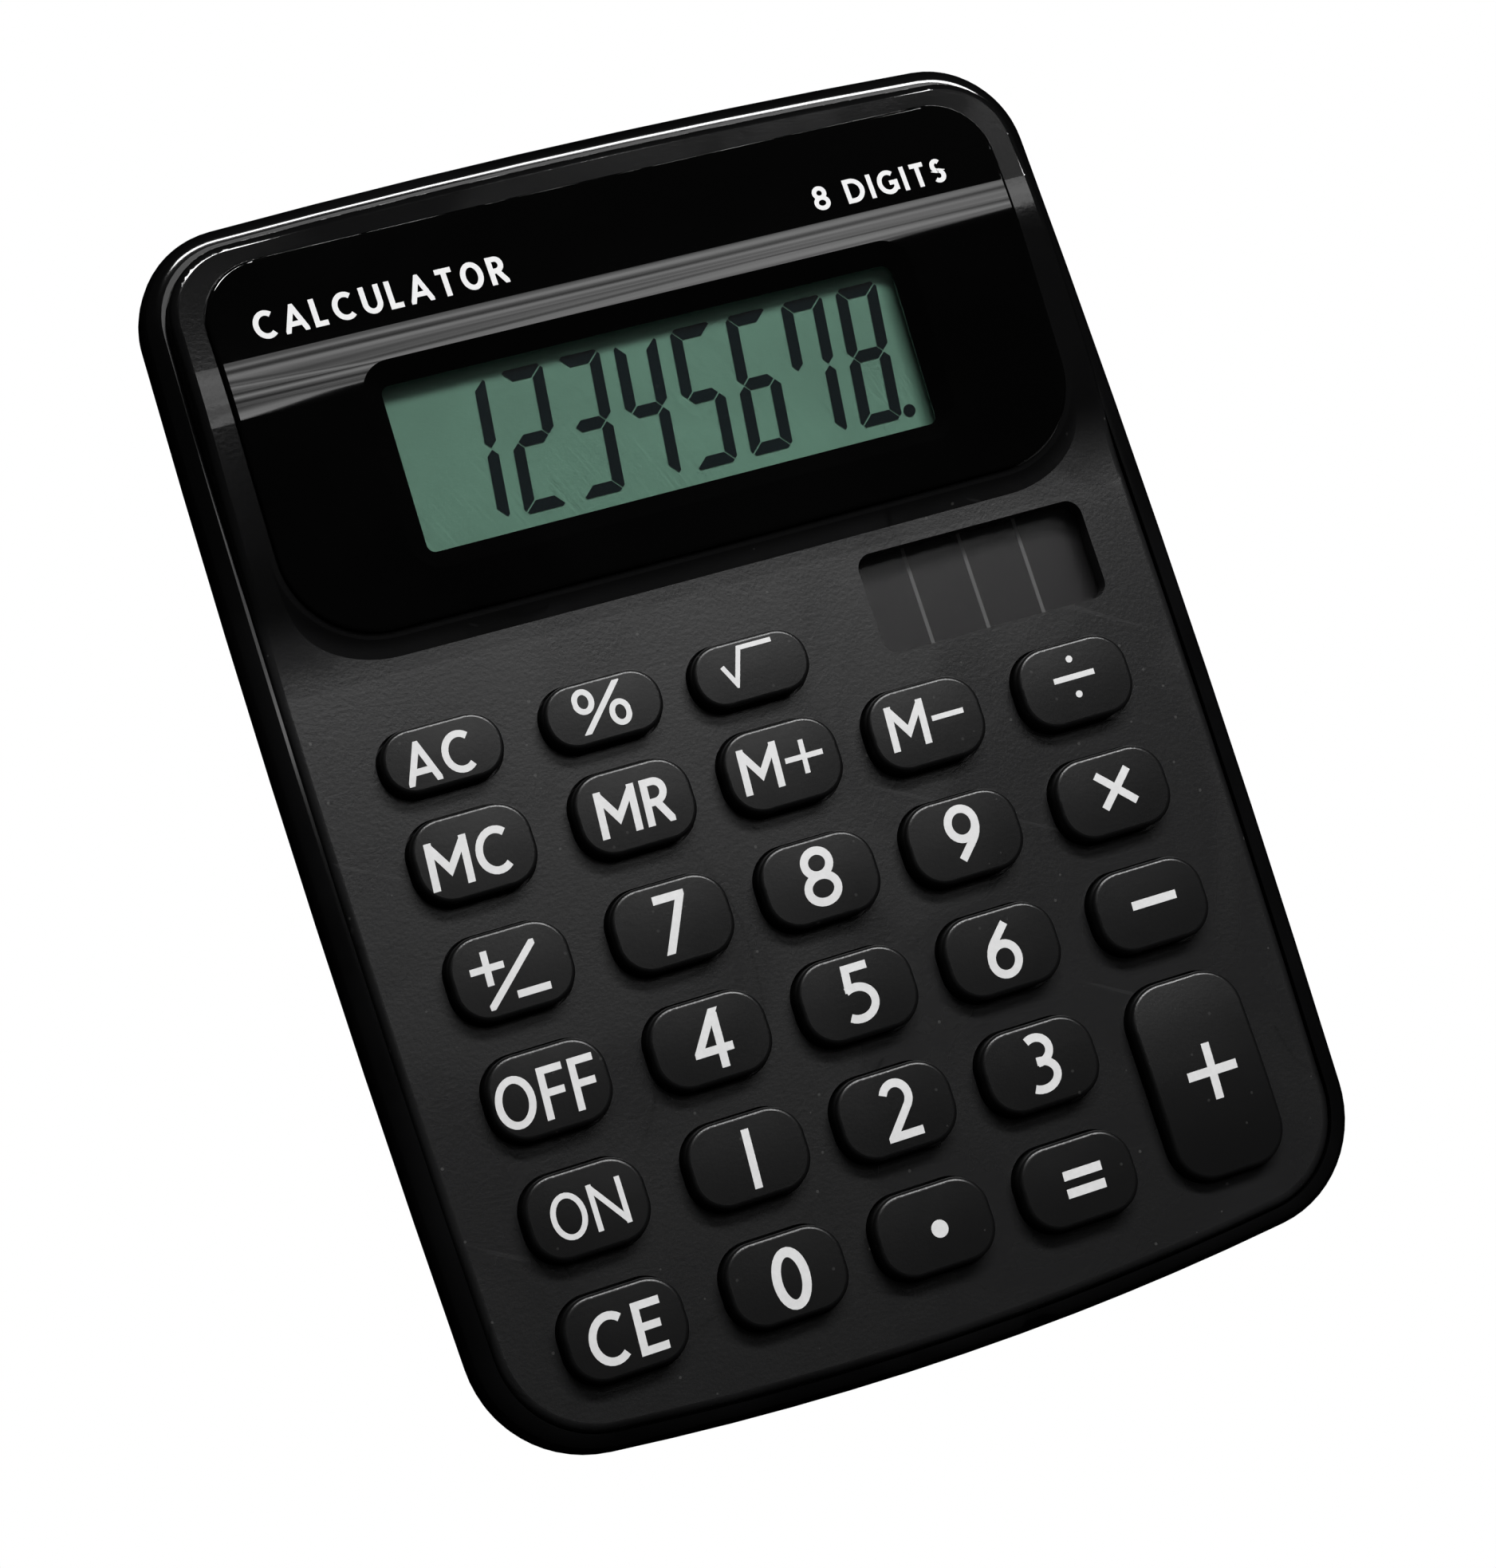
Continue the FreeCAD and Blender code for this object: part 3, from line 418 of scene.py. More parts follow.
def dust():
    """Sparse specks."""
    tree, given, out = group("Dust", {"Scale": 900.0, "Radius": 0.08}, ["Mask"])
    cells = add(tree, "TexVoronoi", {"Vector": given["Vector"], "Scale": given["Scale"]})
    near = maths(tree, "LESS_THAN", cells.outputs["Distance"], given["Radius"])
    parts = add(tree, "SeparateColor", {"Color": cells.outputs["Color"]})
    rare = maths(tree, "GREATER_THAN", parts.outputs[0], 0.8)
    tree.links.new(maths(tree, "MULTIPLY", near, rare), out["Mask"])


def use(tree, name, place, **inputs):
    """Output of one of the node groups above, at a place on the surface."""
    return add(tree, "Group", {"Vector": place, **inputs},
               node_tree=bpy.data.node_groups[name]).outputs[0]


def new_material(name, **plain):
    """Material with its Principled shader, its Object coordinates, and uniform values set."""
    material = bpy.data.materials.new(name)
    material.use_nodes = True
    tree = material.node_tree
    shader = tree.nodes["Principled BSDF"]
    for key, value in plain.items():
        shader.inputs[key.replace("_", " ")].default_value = value
    place = add(tree, "TexCoord").outputs["Object"]
    return material, tree, shader, place


def rgba(colour, k=1.0):
    """Colour times k, with full cover."""
    return (*[c * k for c in colour], 1.0)


def tinted(tree, tone, mask, share, colour):
    """Tone that turns to a colour, by a share of a mask."""
    return colour_mix(tree, maths(tree, "MULTIPLY", mask, share), tone, rgba(colour))


def moulded(name, colour, roughness, grain=3500.0, depth=0.006, smudge=0.3, lines=0.0,
            scratch=0.0, specks=0.0, polish_and_shade=None, **plain):
    """Moulded plastic: grain in its bump, smudges in its colour and gloss, optional light wear.
    The pair of heights in mm for polish and shade: between them the skin turns from satin to polished, and its colour
    darkens to 0.4 of itself as painted shade."""
    material, tree, shader, place = new_material(name, **plain)
    cloud = use(tree, "Smudges", place, Scale=45.0)
    tone = colour_mix(tree, cloud, rgba(colour, 1 - smudge), rgba(colour, 1 + smudge))
    swing = 0.35 * smudge
    gloss = ramp(tree, cloud, 0.0, 1.0, roughness * (1 + swing), roughness * (1 - swing))
    if lines:
        dark = use(tree, "Flow lines", place, Scale=26.0, Width=0.006, Cover=0.52)
        tone = tinted(tree, tone, dark, lines, [c * 0.35 for c in colour])
    if scratch:
        hair = use(tree, "Scratches", place, Scale=700.0, Angle=0.5, Cover=0.3)
        tone = tinted(tree, tone, hair, scratch, [c * 2.2 + 0.02 for c in colour])
    if specks:
        speck = use(tree, "Dust", place, Scale=700.0, Radius=0.1)
        tone = tinted(tree, tone, speck, specks, DUST)
    share = 1.0
    if polish_and_shade:
        height = add(tree, "SeparateXYZ", {"Vector": place}).outputs["Z"]
        satin, polished = (limit * MM for limit in polish_and_shade)
        # painted shade: above these heights the colour darkens to 0.4 of itself, standing in for the shade on the
        # raised border round the display; the lower roughness there is real polish
        tone = colour_mix(tree, ramp(tree, height, satin, polished), tone, rgba(colour, 0.4))
        share = ramp(tree, height, satin, polished, 1.0, 0.3)
        gloss = maths(tree, "MULTIPLY", gloss, share)
    tree.links.new(tone, shader.inputs["Base Color"])
    tree.links.new(gloss, shader.inputs["Roughness"])
    if depth:
        rough = use(tree, "Moulded grain", place, Scale=grain)
        bump = add(tree, "Bump", {"Height": rough, "Strength": share,
                   "Distance": depth * MM})
        tree.links.new(bump.outputs[0], shader.inputs["Normal"])
    return material


def metal(name, colour, roughness):
    """Plated or drawn metal with fine lines in one direction and a little tarnish."""
    material, tree, shader, place = new_material(name, Metallic=1.0)
    drawn = use(tree, "Scratches", place, Scale=2500.0, Angle=0.0, Cover=0.45)
    cloud = use(tree, "Smudges", place, Scale=150.0)
    tone = colour_mix(tree, cloud, rgba(colour, 0.8), rgba(colour))
    tree.links.new(tone, shader.inputs["Base Color"])
    gloss = ramp(tree, drawn, 0.0, 1.0, roughness, roughness * 1.6)
    tree.links.new(gloss, shader.inputs["Roughness"])
    bump = add(tree, "Bump", {"Height": drawn, "Strength": 0.3, "Distance": 0.005 * MM})
    tree.links.new(bump.outputs[0], shader.inputs["Normal"])
    return material


def clear(name, colour, alpha, roughness=0.03):
    """Clear plate: faint tint, a few specks of dust and cloudy gloss."""
    material, tree, shader, place = new_material(name, Base_Color=rgba(colour))
    speck = use(tree, "Dust", place, Scale=420.0, Radius=0.06)
    cover = ramp(tree, speck, 0.0, 1.0, alpha, min(1.0, alpha * 4))
    tree.links.new(cover, shader.inputs["Alpha"])
    cloud = use(tree, "Smudges", place, Scale=60.0)
    gloss = ramp(tree, cloud, 0.0, 1.0, roughness, roughness * 3)
    tree.links.new(gloss, shader.inputs["Roughness"])
    return material


def printed(name, colour, roughness=0.55):
    """Thin layer of print, slightly uneven in tone and gloss."""
    material, tree, shader, place = new_material(name)
    cloud = use(tree, "Moulded grain", place, Scale=2500.0)
    tone = ramp(tree, cloud, 0.5, 1.1)
    tone = colour_mix(tree, tone, rgba(colour, 0.93), rgba(colour))
    tree.links.new(tone, shader.inputs["Base Color"])
    gloss = ramp(tree, cloud, 0.5, 1.1, roughness * 0.9, roughness * 1.1)
    tree.links.new(gloss, shader.inputs["Roughness"])
    return material


def dress(nodes, material):
    """Give CAD nodes a finish."""
    for name in nodes:
        for material_slot in NODES[name].material_slots:
            material_slot.material = material


# ---------- letters and figures
# Each sign: width as a share of its height, weight as a share of the stroke, strokes.
# A stroke is a list of points in a unit box, of arcs (centre, radii, first and last angle in
# degrees), or one point for a dot. A steep end on the base or cap line is cut flat there.
STEM = [(0, 0), (0, 1)]
RING = [(0.5, 0.5, 0.5, 0.5, 0, 360)]
SIGNS = {
    "A": (0.80, 0.95, [[(0, 0), (0.5, 1), (1, 0)], [(0.17, 0.26), (0.83, 0.26)]]),
    "C": (0.80, 1.0, [[(0.56, 0.5, 0.56, 0.5, 50, 310)]]),
    "D": (0.80, 1.0, [STEM, [(0, 1), (0.35, 1), (0.35, 0.5, 0.65, 0.5, 90, -90), (0, 0)]]),
    "E": (0.60, 1.0, [STEM, [(0, 1), (1.1, 1)], [(0, 0.52), (0.95, 0.52)], [(0, 0), (1.1, 0)]]),
    "F": (0.50, 1.0, [STEM, [(0, 1), (1.2, 1)], [(0, 0.5), (1.1, 0.5)]]),
    "G": (0.84, 1.0, [[(0.54, 0.5, 0.54, 0.5, 50, 335)], [(1, 0.05), (1, 0.46), (0.6, 0.46)]]),
    "I": (0.0, 1.0, [[(0.5, 0), (0.5, 1)]]),
    "L": (0.52, 1.0, [STEM, [(0, 0), (1.1, 0)]]),
    "M": (0.90, 1.0, [STEM, [(1, 0), (1, 1)], [(0, 1), (0.5, 0.34), (1, 1)]]),
    "N": (0.76, 1.0, [STEM, [(1, 0), (1, 1)], [(0, 1), (1, 0)]]),
    "O": (0.78, 1.0, [RING]),
    "R": (0.62, 1.0, [STEM, [(0.48, 0.46), (1, 0)],
                      [(0, 1), (0.42, 1), (0.42, 0.74, 0.46, 0.26, 90, -90), (0, 0.48)]]),
    "S": (0.58, 1.0, [[(0.48, 0.75, 0.42, 0.25, 40, 270), (0.45, 0.25, 0.5, 0.25, 90, -140)]]),
    "T": (0.66, 1.0, [[(0.5, 0), (0.5, 1)], [(-0.1, 1), (1.1, 1)]]),
    "U": (0.70, 1.0, [[(0, 1), (0, 0.36), (0.5, 0.36, 0.5, 0.36, 180, 360), (1, 1)]]),
    "0": (0.64, 1.0, [RING]),
    "1": (0.0, 0.9, [[(0.5, 0), (0.5, 1)]]),
    "2": (0.62, 0.95, [[(0.46, 0.72, 0.46, 0.28, 160, -38), (0.02, 0)], [(0, 0), (1.15, 0)]]),
    "3": (0.56, 0.95, [[(0.36, 0.755, 0.56, 0.245, 125, -95)],
                       [(0.32, 0.27, 0.68, 0.27, 95, -125)]]),
    "4": (0.68, 0.95, [[(0.70, 1), (0, 0.29), (1.15, 0.29)], [(0.74, 0), (0.74, 0.985)]]),
    "5": (0.60, 0.95, [[(1, 1), (0.16, 1)], [(0.16, 1.1), (0.1, 0.54)],
                       [(0.34, 0.31, 0.66, 0.31, 122, -128)]]),
    "6": (0.62, 0.95, [[(0.5, 0.3, 0.5, 0.3, 0, 360)],
                       [(0.9, 0.32, 0.9, 0.5, 180, 135), (0.8, 0.99)]]),
    "7": (0.63, 0.95, [[(0, 1), (1, 1), (0.24, 0)]]),
    "8": (0.66, 0.95, [[(0.5, 0.76, 0.42, 0.24, 0, 360)], [(0.5, 0.26, 0.5, 0.26, 0, 360)]]),
    "9": (0.62, 0.95, [[(0.5, 0.7, 0.5, 0.3, 0, 360)],
                       [(0.1, 0.68, 0.9, 0.5, 0, -45), (0.2, 0.01)]]),
    " ": (0.30, 1.0, []),
    "-": (0.76, 0.75, [[(-0.1, 0.5), (1.1, 0.5)]]),
    "+": (0.88, 0.75, [[(-0.1, 0.5), (1.1, 0.5)], [(0.5, 0.08), (0.5, 0.92)]]),
    "x": (1.0, 1.0, [[(0, 0.01), (1, 0.99)], [(0, 0.99), (1, 0.01)]]),
    "/": (1.15, 0.8, [[(0, 0.0), (1, 1.0)]]),
    ":": (1.1, 0.7, [[(-0.05, 0.5), (1.05, 0.5)], [(0.5, 1)], [(0.5, 0)]]),
    "%": (1.2, 0.8, [[(0.12, 0), (0.88, 1)], [(0.16, 0.74, 0.17, 0.25, 0, 360)],
                     [(0.84, 0.27, 0.17, 0.26, 0, 360)]]),
    "r": (1.45, 0.75, [[(0, 0.6), (0.18, 0.04), (0.4, 1), (1.04, 1)]]),
}
# Key, its legend, height and stroke in mm, slant in degrees, shift in mm from the key's middle.
LEGENDS = [
    ("key_all_clear", "AC", 3.85, 0.78, 1.0, (-0.45, -0.25)),
    ("key_percent", "%", 4.2, 0.82, 0.0, (-0.2, 0.2)),
    ("key_root", "r", 3.75, 0.72, 0.0, (-0.2, 0.45)),
    ("key_memory_clear", "MC", 4.3, 0.85, 4.5, (-0.5, -0.3)),
    ("key_memory_recall", "MR", 4.25, 0.85, 4.5, (-0.15, 0.0)),
    ("key_memory_plus", "M+", 4.2, 0.82, 4.0, (-0.1, 0.2)),
    ("key_memory_minus", "M-", 4.2, 0.82, 4.0, (-0.05, 0.3)),
    ("key_divide", ":", 3.9, 0.95, 2.5, (-0.1, 0.45)),
    ("key_7", "7", 5.35, 1.0, 3.0, (-0.1, 0.0)),
    ("key_8", "8", 5.45, 1.0, 3.0, (-0.05, 0.25)),
    ("key_9", "9", 5.4, 1.0, 2.0, (-0.05, 0.25)),
    ("key_multiply", "x", 4.0, 0.92, 0.0, (0.3, 0.3)),
    ("key_off", "OFF", 4.65, 0.82, 3.5, (-0.4, -0.25)),
    ("key_4", "4", 5.35, 0.98, 3.0, (0.0, 0.0)),
    ("key_5", "5", 5.35, 0.98, 3.0, (0.1, 0.15)),
    ("key_6", "6", 5.4, 1.0, 3.0, (-0.05, 0.1)),
    ("key_on", "ON", 4.15, 0.62, 0.5, (0.0, -0.1)),
    ("key_1", "1", 5.3, 1.0, 3.5, (0.15, -0.15)),
    ("key_2", "2", 5.45, 1.0, 3.0, (0.25, 0.1)),
    ("key_3", "3", 5.45, 1.0, 3.0, (0.15, 0.15)),
    ("key_clear_entry", "CE", 4.65, 0.88, 3.5, (0.0, -0.3)),
    ("key_0", "0", 5.5, 1.08, 3.0, (0.25, -0.25)),
]
# Piece, its word, height and stroke in mm, and x and y of the word's middle in mm.
PANEL_WORDS = [
    ("panel_word_left", "CALCULATOR", 2.7, 0.5, -22.6, 46.6),
    ("panel_word_right", "8 DIGITS", 2.4, 0.45, 26.2, 46.2),
]
CURVE_STEP = 12.0       # degrees of an arc in one stretch of a stroke
TILE = 1.2              # prints are cut to this size, in mm, so that they follow a crowned key
LETTER_GAP = 0.12       # between letters, as a share of their height
PANEL_GAP = 0.2         # the same for the words on the panel
BAR_SLANT = 3.0         # degrees that the plain bars lean
DOT_SHARE = 0.62        # radius of a dot in a sign, as a share of the stroke
STEEP = 0.3             # a stroke rising more than this is cut flat at its end
LEAST_MITRE = 0.25      # keeps the mitre of a sharp corner short
SHORT = 1e-3            # points of a line closer than this are one, in mm


def centre_line(items, to_place):
    """Points of a stroke's middle line, in mm."""
    raw = []
    for item in items:
        if len(item) == 2:
            raw.append(to_place(*item))
            continue
        u, v, ru, rv, first, last = item
        steps = max(2, round(abs(last - first) / CURVE_STEP))
        for i in range(steps + 1):
            a = math.radians(first + (last - first) * i / steps)
            raw.append(to_place(u + ru * math.cos(a), v + rv * math.sin(a)))
    line = [raw[0]]
    for point in raw[1:]:
        if (point - line[-1]).length > SHORT:
            line.append(point)
    return line


def ribbon(line, weight):
    """Four-sided stretches of a stroke, with mitred joints."""
    closed = len(line) > 3 and (line[0] - line[-1]).length < 1e-4
    sides = []
    last = len(line) - 1
    for i, point in enumerate(line):
        before = line[i - 1] if i > 0 else (line[-2] if closed else None)
        after = line[i + 1] if i < last else (line[1] if closed else None)
        a = (point - before).normalized() if before is not None else None
        b = (after - point).normalized() if after is not None else None
        a = a or b
        b = b or a
        normal = Vector((-(a + b).y, (a + b).x)).normalized()
        reach = weight / 2 / max(LEAST_MITRE, normal.dot(Vector((-a.y, a.x))))
        sides.append((point + normal * reach, point - normal * reach))
    return [(sides[i][1], sides[i + 1][1], sides[i + 1][0], sides[i][0]) for i in range(last)]


def trimmed(polygon, axis, limit, keep_below):
    """Part of a convex polygon on one side of a line across an axis."""
    sign = 1 if keep_below else -1
    kept = []
    for i, p in enumerate(polygon):
        q = polygon[(i + 1) % len(polygon)]
        inside = sign * (p[axis] - limit) <= 0
        if inside:
            kept.append(p)
        if inside != (sign * (q[axis] - limit) <= 0):
            kept.append(p.lerp(q, (limit - p[axis]) / (q[axis] - p[axis])))
    return kept


def tiled(polygon):
    """A convex polygon cut into tiles."""
    tiles = [polygon]
    for axis in (0, 1):
        low = min(p[axis] for p in polygon)
        high = max(p[axis] for p in polygon)
        for i in range(math.floor(low / TILE) + 1, math.ceil(high / TILE)):
            cut = [trimmed(t, axis, i * TILE, side) for t in tiles for side in (True, False)]
            tiles = [t for t in cut if len(t) > 2]
    return tiles


def disc(spot, radius, corners=18):
    return [spot + Vector((math.cos(a), math.sin(a))) * radius
            for a in (math.radians(360 // corners * i) for i in range(corners))]


def sign_polygons(sign, height, stroke):
    """Polygons of one letter, figure or sign, from its left edge and base line, and its width."""
    share, heaviness, strokes = SIGNS[sign]
    weight = stroke * heaviness
    r = weight / 2
    width = max(share * height, weight)

    def to_place(u, v):
        return Vector((r + u * (width - weight), r + v * (height - weight)))

    polygons = []
    for items in strokes:
        if len(items) == 1 and len(items[0]) == 2:
            spot = to_place(*items[0])
            polygons.append(disc(spot, weight * DOT_SHARE))
            continue
        line = centre_line(items, to_place)
        for end, beside in ((0, 1), (-1, -2)):
            away = line[end] - line[beside]
            at_edge = items[end][1] in (0, 1) and len(items[end]) == 2
            if at_edge and abs(away.y) > STEEP * abs(away.x):
                line[end] = line[end] + away.normalized() * weight
        for quad in ribbon(line, weight):
            for axis, limit in ((0, width), (1, height)):
                quad = trimmed(trimmed(quad, axis, 0.0, False), axis, limit, True)
            if len(quad) > 2:
                polygons.append(quad)
    return polygons, width


def word_polygons(word, height, stroke, slant, gap=LETTER_GAP):
    """Polygons of a whole legend, in mm about its own middle."""
    lean = math.tan(math.radians(slant))
    at = 0.0
    polygons = []
    for sign in word:
        found, width = sign_polygons(sign, height, stroke)
        polygons += [[p + Vector((at, 0)) for p in polygon] for polygon in found]
        at += width + gap * height
    middle_x = (at - gap * height) / 2
    return [[Vector((p.x - middle_x + lean * (p.y - height / 2), p.y - height / 2))
             for p in polygon] for polygon in polygons]


def laid_print(name, polygons, place, under, rise, material, slot, body):
    """Print that follows a surface: its front just above it, its back just inside it."""
    flat, triangles = flat_shape([tile for polygon in polygons for tile in tiled(polygon)])
    height = surface(under)

    def at(x, y, lift):
        px = place[0] + x * MM
        py = place[1] + y * MM
        return Vector((px, py, height(px, py) + lift))

    points, faces = slab(flat, triangles, lambda x, y: at(x, y, rise),
                         lambda x, y: at(x, y, -rise / 2))
    return piece(name, points, faces, material, slot, body)


# ---------- settings
def shade(name, text, value):
    return FloatVectorProperty(name=name, description=text, subtype="COLOR", default=value)


def length(name, text, mm):
    return FloatProperty(name=name, description=text, default=mm * MM, unit="LENGTH",
                         precision=6)


def number(name, text, value, **limits):
    return FloatProperty(name=name, description=text, default=value, **limits)


class CaseSettings(bpy.types.PropertyGroup):
    """Colours and finish of the plastic shells and keys."""
    upper: shade("Upper case", "Colour of the satin upper case", (0.007, 0.007, 0.0072))
    lower: shade("Lower case", "Colour of the polished lower case", (0.0022, 0.0022, 0.0023))
    panel: shade("Panel", "Colour of the gloss display panel", (0.0007, 0.0007, 0.0007))
    keys: shade("Keys", "Colour of the key caps", (0.0035, 0.0035, 0.0036))
    upper_roughness: number("Upper roughness", "Satin of the upper case", 0.29, min=0.05, max=1.0)
    key_roughness: number("Key roughness", "Satin of the key caps", 0.30, min=0.05, max=1.0)


class LegendSettings(bpy.types.PropertyGroup):
    """Printed legends of the keys and the panel."""
    colour: shade("Print", "Colour of the printed legends", (0.68, 0.68, 0.68))
    rise: length("Thickness", "How far the print stands above its key", 0.025)
    weight: number("Weight", "Factor on every stroke's width", 0.8, min=0.5, max=2.0)


class DisplaySettings(bpy.types.PropertyGroup):
    """Figures and back of the liquid crystal display."""
    text: StringProperty(name="Figures", description="What the display shows", default="12345678")
    pitch: length("Pitch", "From one figure to the next", 5.55)
    width: length("Width", "Width of one figure", 4.15)
    height: length("Height", "Height of one figure", 13.1)
    bar: length("Bar", "Width of one segment", 1.08)
    gap: length("Gap", "Gap between segments", 0.1)
    slant: number("Slant", "Lean of the figures", math.radians(6.0), subtype="ANGLE")
    right_margin: length("Right margin", "Window's right edge to the last figure", 1.95)
    back: shade("Back", "Colour of the reflector", (0.10, 0.235, 0.165))
    ink: shade("Segments", "Colour of a dark segment", (0.002, 0.005, 0.006))


class DomeSettings(bpy.types.PropertyGroup):
    """Rubber sheet under the keys."""
    rubber: shade("Rubber", "Colour of the silicone", (0.3, 0.3, 0.31))
    sheet: length("Sheet", "Thickness of the flat sheet", 0.8)
    inset: length("Inset", "From a key's flange to the foot of its dome", 1.4)
    wall: length("Wall", "Thickness of a dome's wall", 0.45)
    keep: number("Keep", "Share of its height that a pressed dome keeps", 0.27, min=0.1, max=1.0)


class SolarSettings(bpy.types.PropertyGroup):
    """Solar cell under its opening."""
    cells: IntProperty(name="Cells", description="Number of cells side by side", default=4, min=1)
    line: length("Line", "Width of the line between two cells", 0.35)


class StageSettings(bpy.types.PropertyGroup):
    """Floor, lights and camera."""
    lens: number("Lens", "Focal length in millimetres", 86.44)
    key_light: number("Key light", "Power of the soft light from the display end", 12.5)
    card_light: number("Card light", "Brightness of the striped card above the display", 2.4)
    fill_light: number("Fill light", "Brightness of the surroundings", 0.12)
    floor: number("Floor", "Width of the floor", 6.0, unit="LENGTH")


class CalculatorSettings(bpy.types.PropertyGroup):
    """All that a user of this add-on would change."""
    case: PointerProperty(type=CaseSettings)
    legends: PointerProperty(type=LegendSettings)
    display: PointerProperty(type=DisplaySettings)
    solar: PointerProperty(type=SolarSettings)
    domes: PointerProperty(type=DomeSettings)
    stage: PointerProperty(type=StageSettings)


# ---------- operators
class Step:
    """An operator whose work is its make(), given the calculator's settings."""

    def execute(self, context):
        self.make(context.scene.calculator)
        return {"FINISHED"}


class CALCULATOR_OT_shells(Step, bpy.types.Operator):
    """Finish the upper and lower case, the battery door, the display panel and the feet"""
    bl_idname = "calculator.shells"
    bl_label = "Shells"

    def make(self, settings):
        look = settings.case
        # above 9.9 mm the upper case is darkened as painted shade on the raised border round the display, and is made
        # glossier there as real polish
        satin = moulded("Satin dark grey case", look.upper, look.upper_roughness, grain=3200.0,
                        depth=0.012, smudge=0.45, lines=0.7, scratch=0.25, specks=0.1,
                        polish_and_shade=(9.9, 10.8))
        polished = moulded("Polished black case", look.lower, 0.1, depth=0.0, smudge=0.4)
        gloss = moulded("Gloss black panel", look.panel, 0.035, depth=0.0, smudge=0.3)
        inner = moulded("Black inner plastic", (0.02, 0.02, 0.02), 0.5)
        foot = moulded("Matt black rubber", (0.012, 0.012, 0.012), 0.85, grain=2200.0, depth=0.03)
        dress(["upper_case"], satin)
        dress(["lower_case", "battery_door"], polished)
        dress(["display_panel"], gloss)
        dress(["lcd_holder"], inner)
        dress(["rubber_feet"], foot)


class CALCULATOR_OT_keys(Step, bpy.types.Operator):
    """Finish the key caps"""
    bl_idname = "calculator.keys"
    bl_label = "Keys"

    def make(self, settings):
        look = settings.case
        cap = moulded("Satin charcoal key", look.keys, look.key_roughness, grain=4200.0,
                      depth=0.006, smudge=0.2, specks=0.06, Specular_IOR_Level=0.4)
        dress(KEYS, cap)


class CALCULATOR_OT_legends(Step, bpy.types.Operator):
    """Print the legend on every key"""
    bl_idname = "calculator.legends"
    bl_label = "Legends"

    def make(self, settings):
        look = settings.legends
        white = printed("White key print", look.colour)
        for key, word, height, stroke, slant, shift in LEGENDS:
            polygons = word_polygons(word, height, stroke * look.weight, slant)
            self.lay(key, polygons, shift, look.rise, white)
        bar = self.bar
        slash = [[p + Vector((0.25, -0.05)) for p in polygon]
                 for polygon in word_polygons("/", 5.1, 0.75, -5.0)]
        sign = bar(3.1, 0.62, -1.75, 1.05) + bar(0.62, 3.1, -1.75, 1.05) + slash
        sign += bar(3.1, 0.66, 1.75, -1.85)
        drawn = [
            ("key_plus", bar(5.0, 0.85) + bar(0.8, 5.2), (0.35, 0.2)),
            ("key_minus", bar(4.5, 0.8), (0.3, 0.3)),
            ("key_point", [disc(Vector((0, 0)), 0.8, 24)], (0.3, -0.2)),
            ("key_equals", bar(3.8, 0.85, 0.05, 0.8) + bar(3.8, 0.85, -0.05, -0.8), (0.4, -0.1)),
            ("key_sign", sign, (-0.4, -0.3)),
        ]
        for key, polygons, shift in drawn:
            self.lay(key, polygons, shift, look.rise, white)

    def bar(self, width, height, x=0.0, y=0.0):
        """Upright or level bar that leans a little, about x, y."""
        lean = math.tan(math.radians(BAR_SLANT))
        a = width / 2
        b = height / 2
        corners = ((-a, -b), (a, -b), (a, b), (-a, b))
        return [[Vector((x + u + lean * v, y + v)) for u, v in corners]]

    def lay(self, key, polygons, shift, rise, material):
        spot = middle(key)
        place = (spot.x + shift[0] * MM, spot.y + shift[1] * MM)
        name = key.replace("key_", "legend_")
        laid_print(name, polygons, place, key, rise, material, "key_plastic", key)


class CALCULATOR_OT_panel_words(Step, bpy.types.Operator):
    """Print two plain words behind the crest of the display panel"""
    bl_idname = "calculator.panel_words"
    bl_label = "Panel words"

    def make(self, settings):
        look = settings.legends
        white = printed("White panel print", look.colour)
        for name, word, height, stroke, x, y in PANEL_WORDS:
            polygons = word_polygons(word, height, stroke, 0.0, PANEL_GAP)
            laid_print(name, polygons, (x * MM, y * MM), "display_panel", look.rise, white,
                       "panel_gloss", "root")


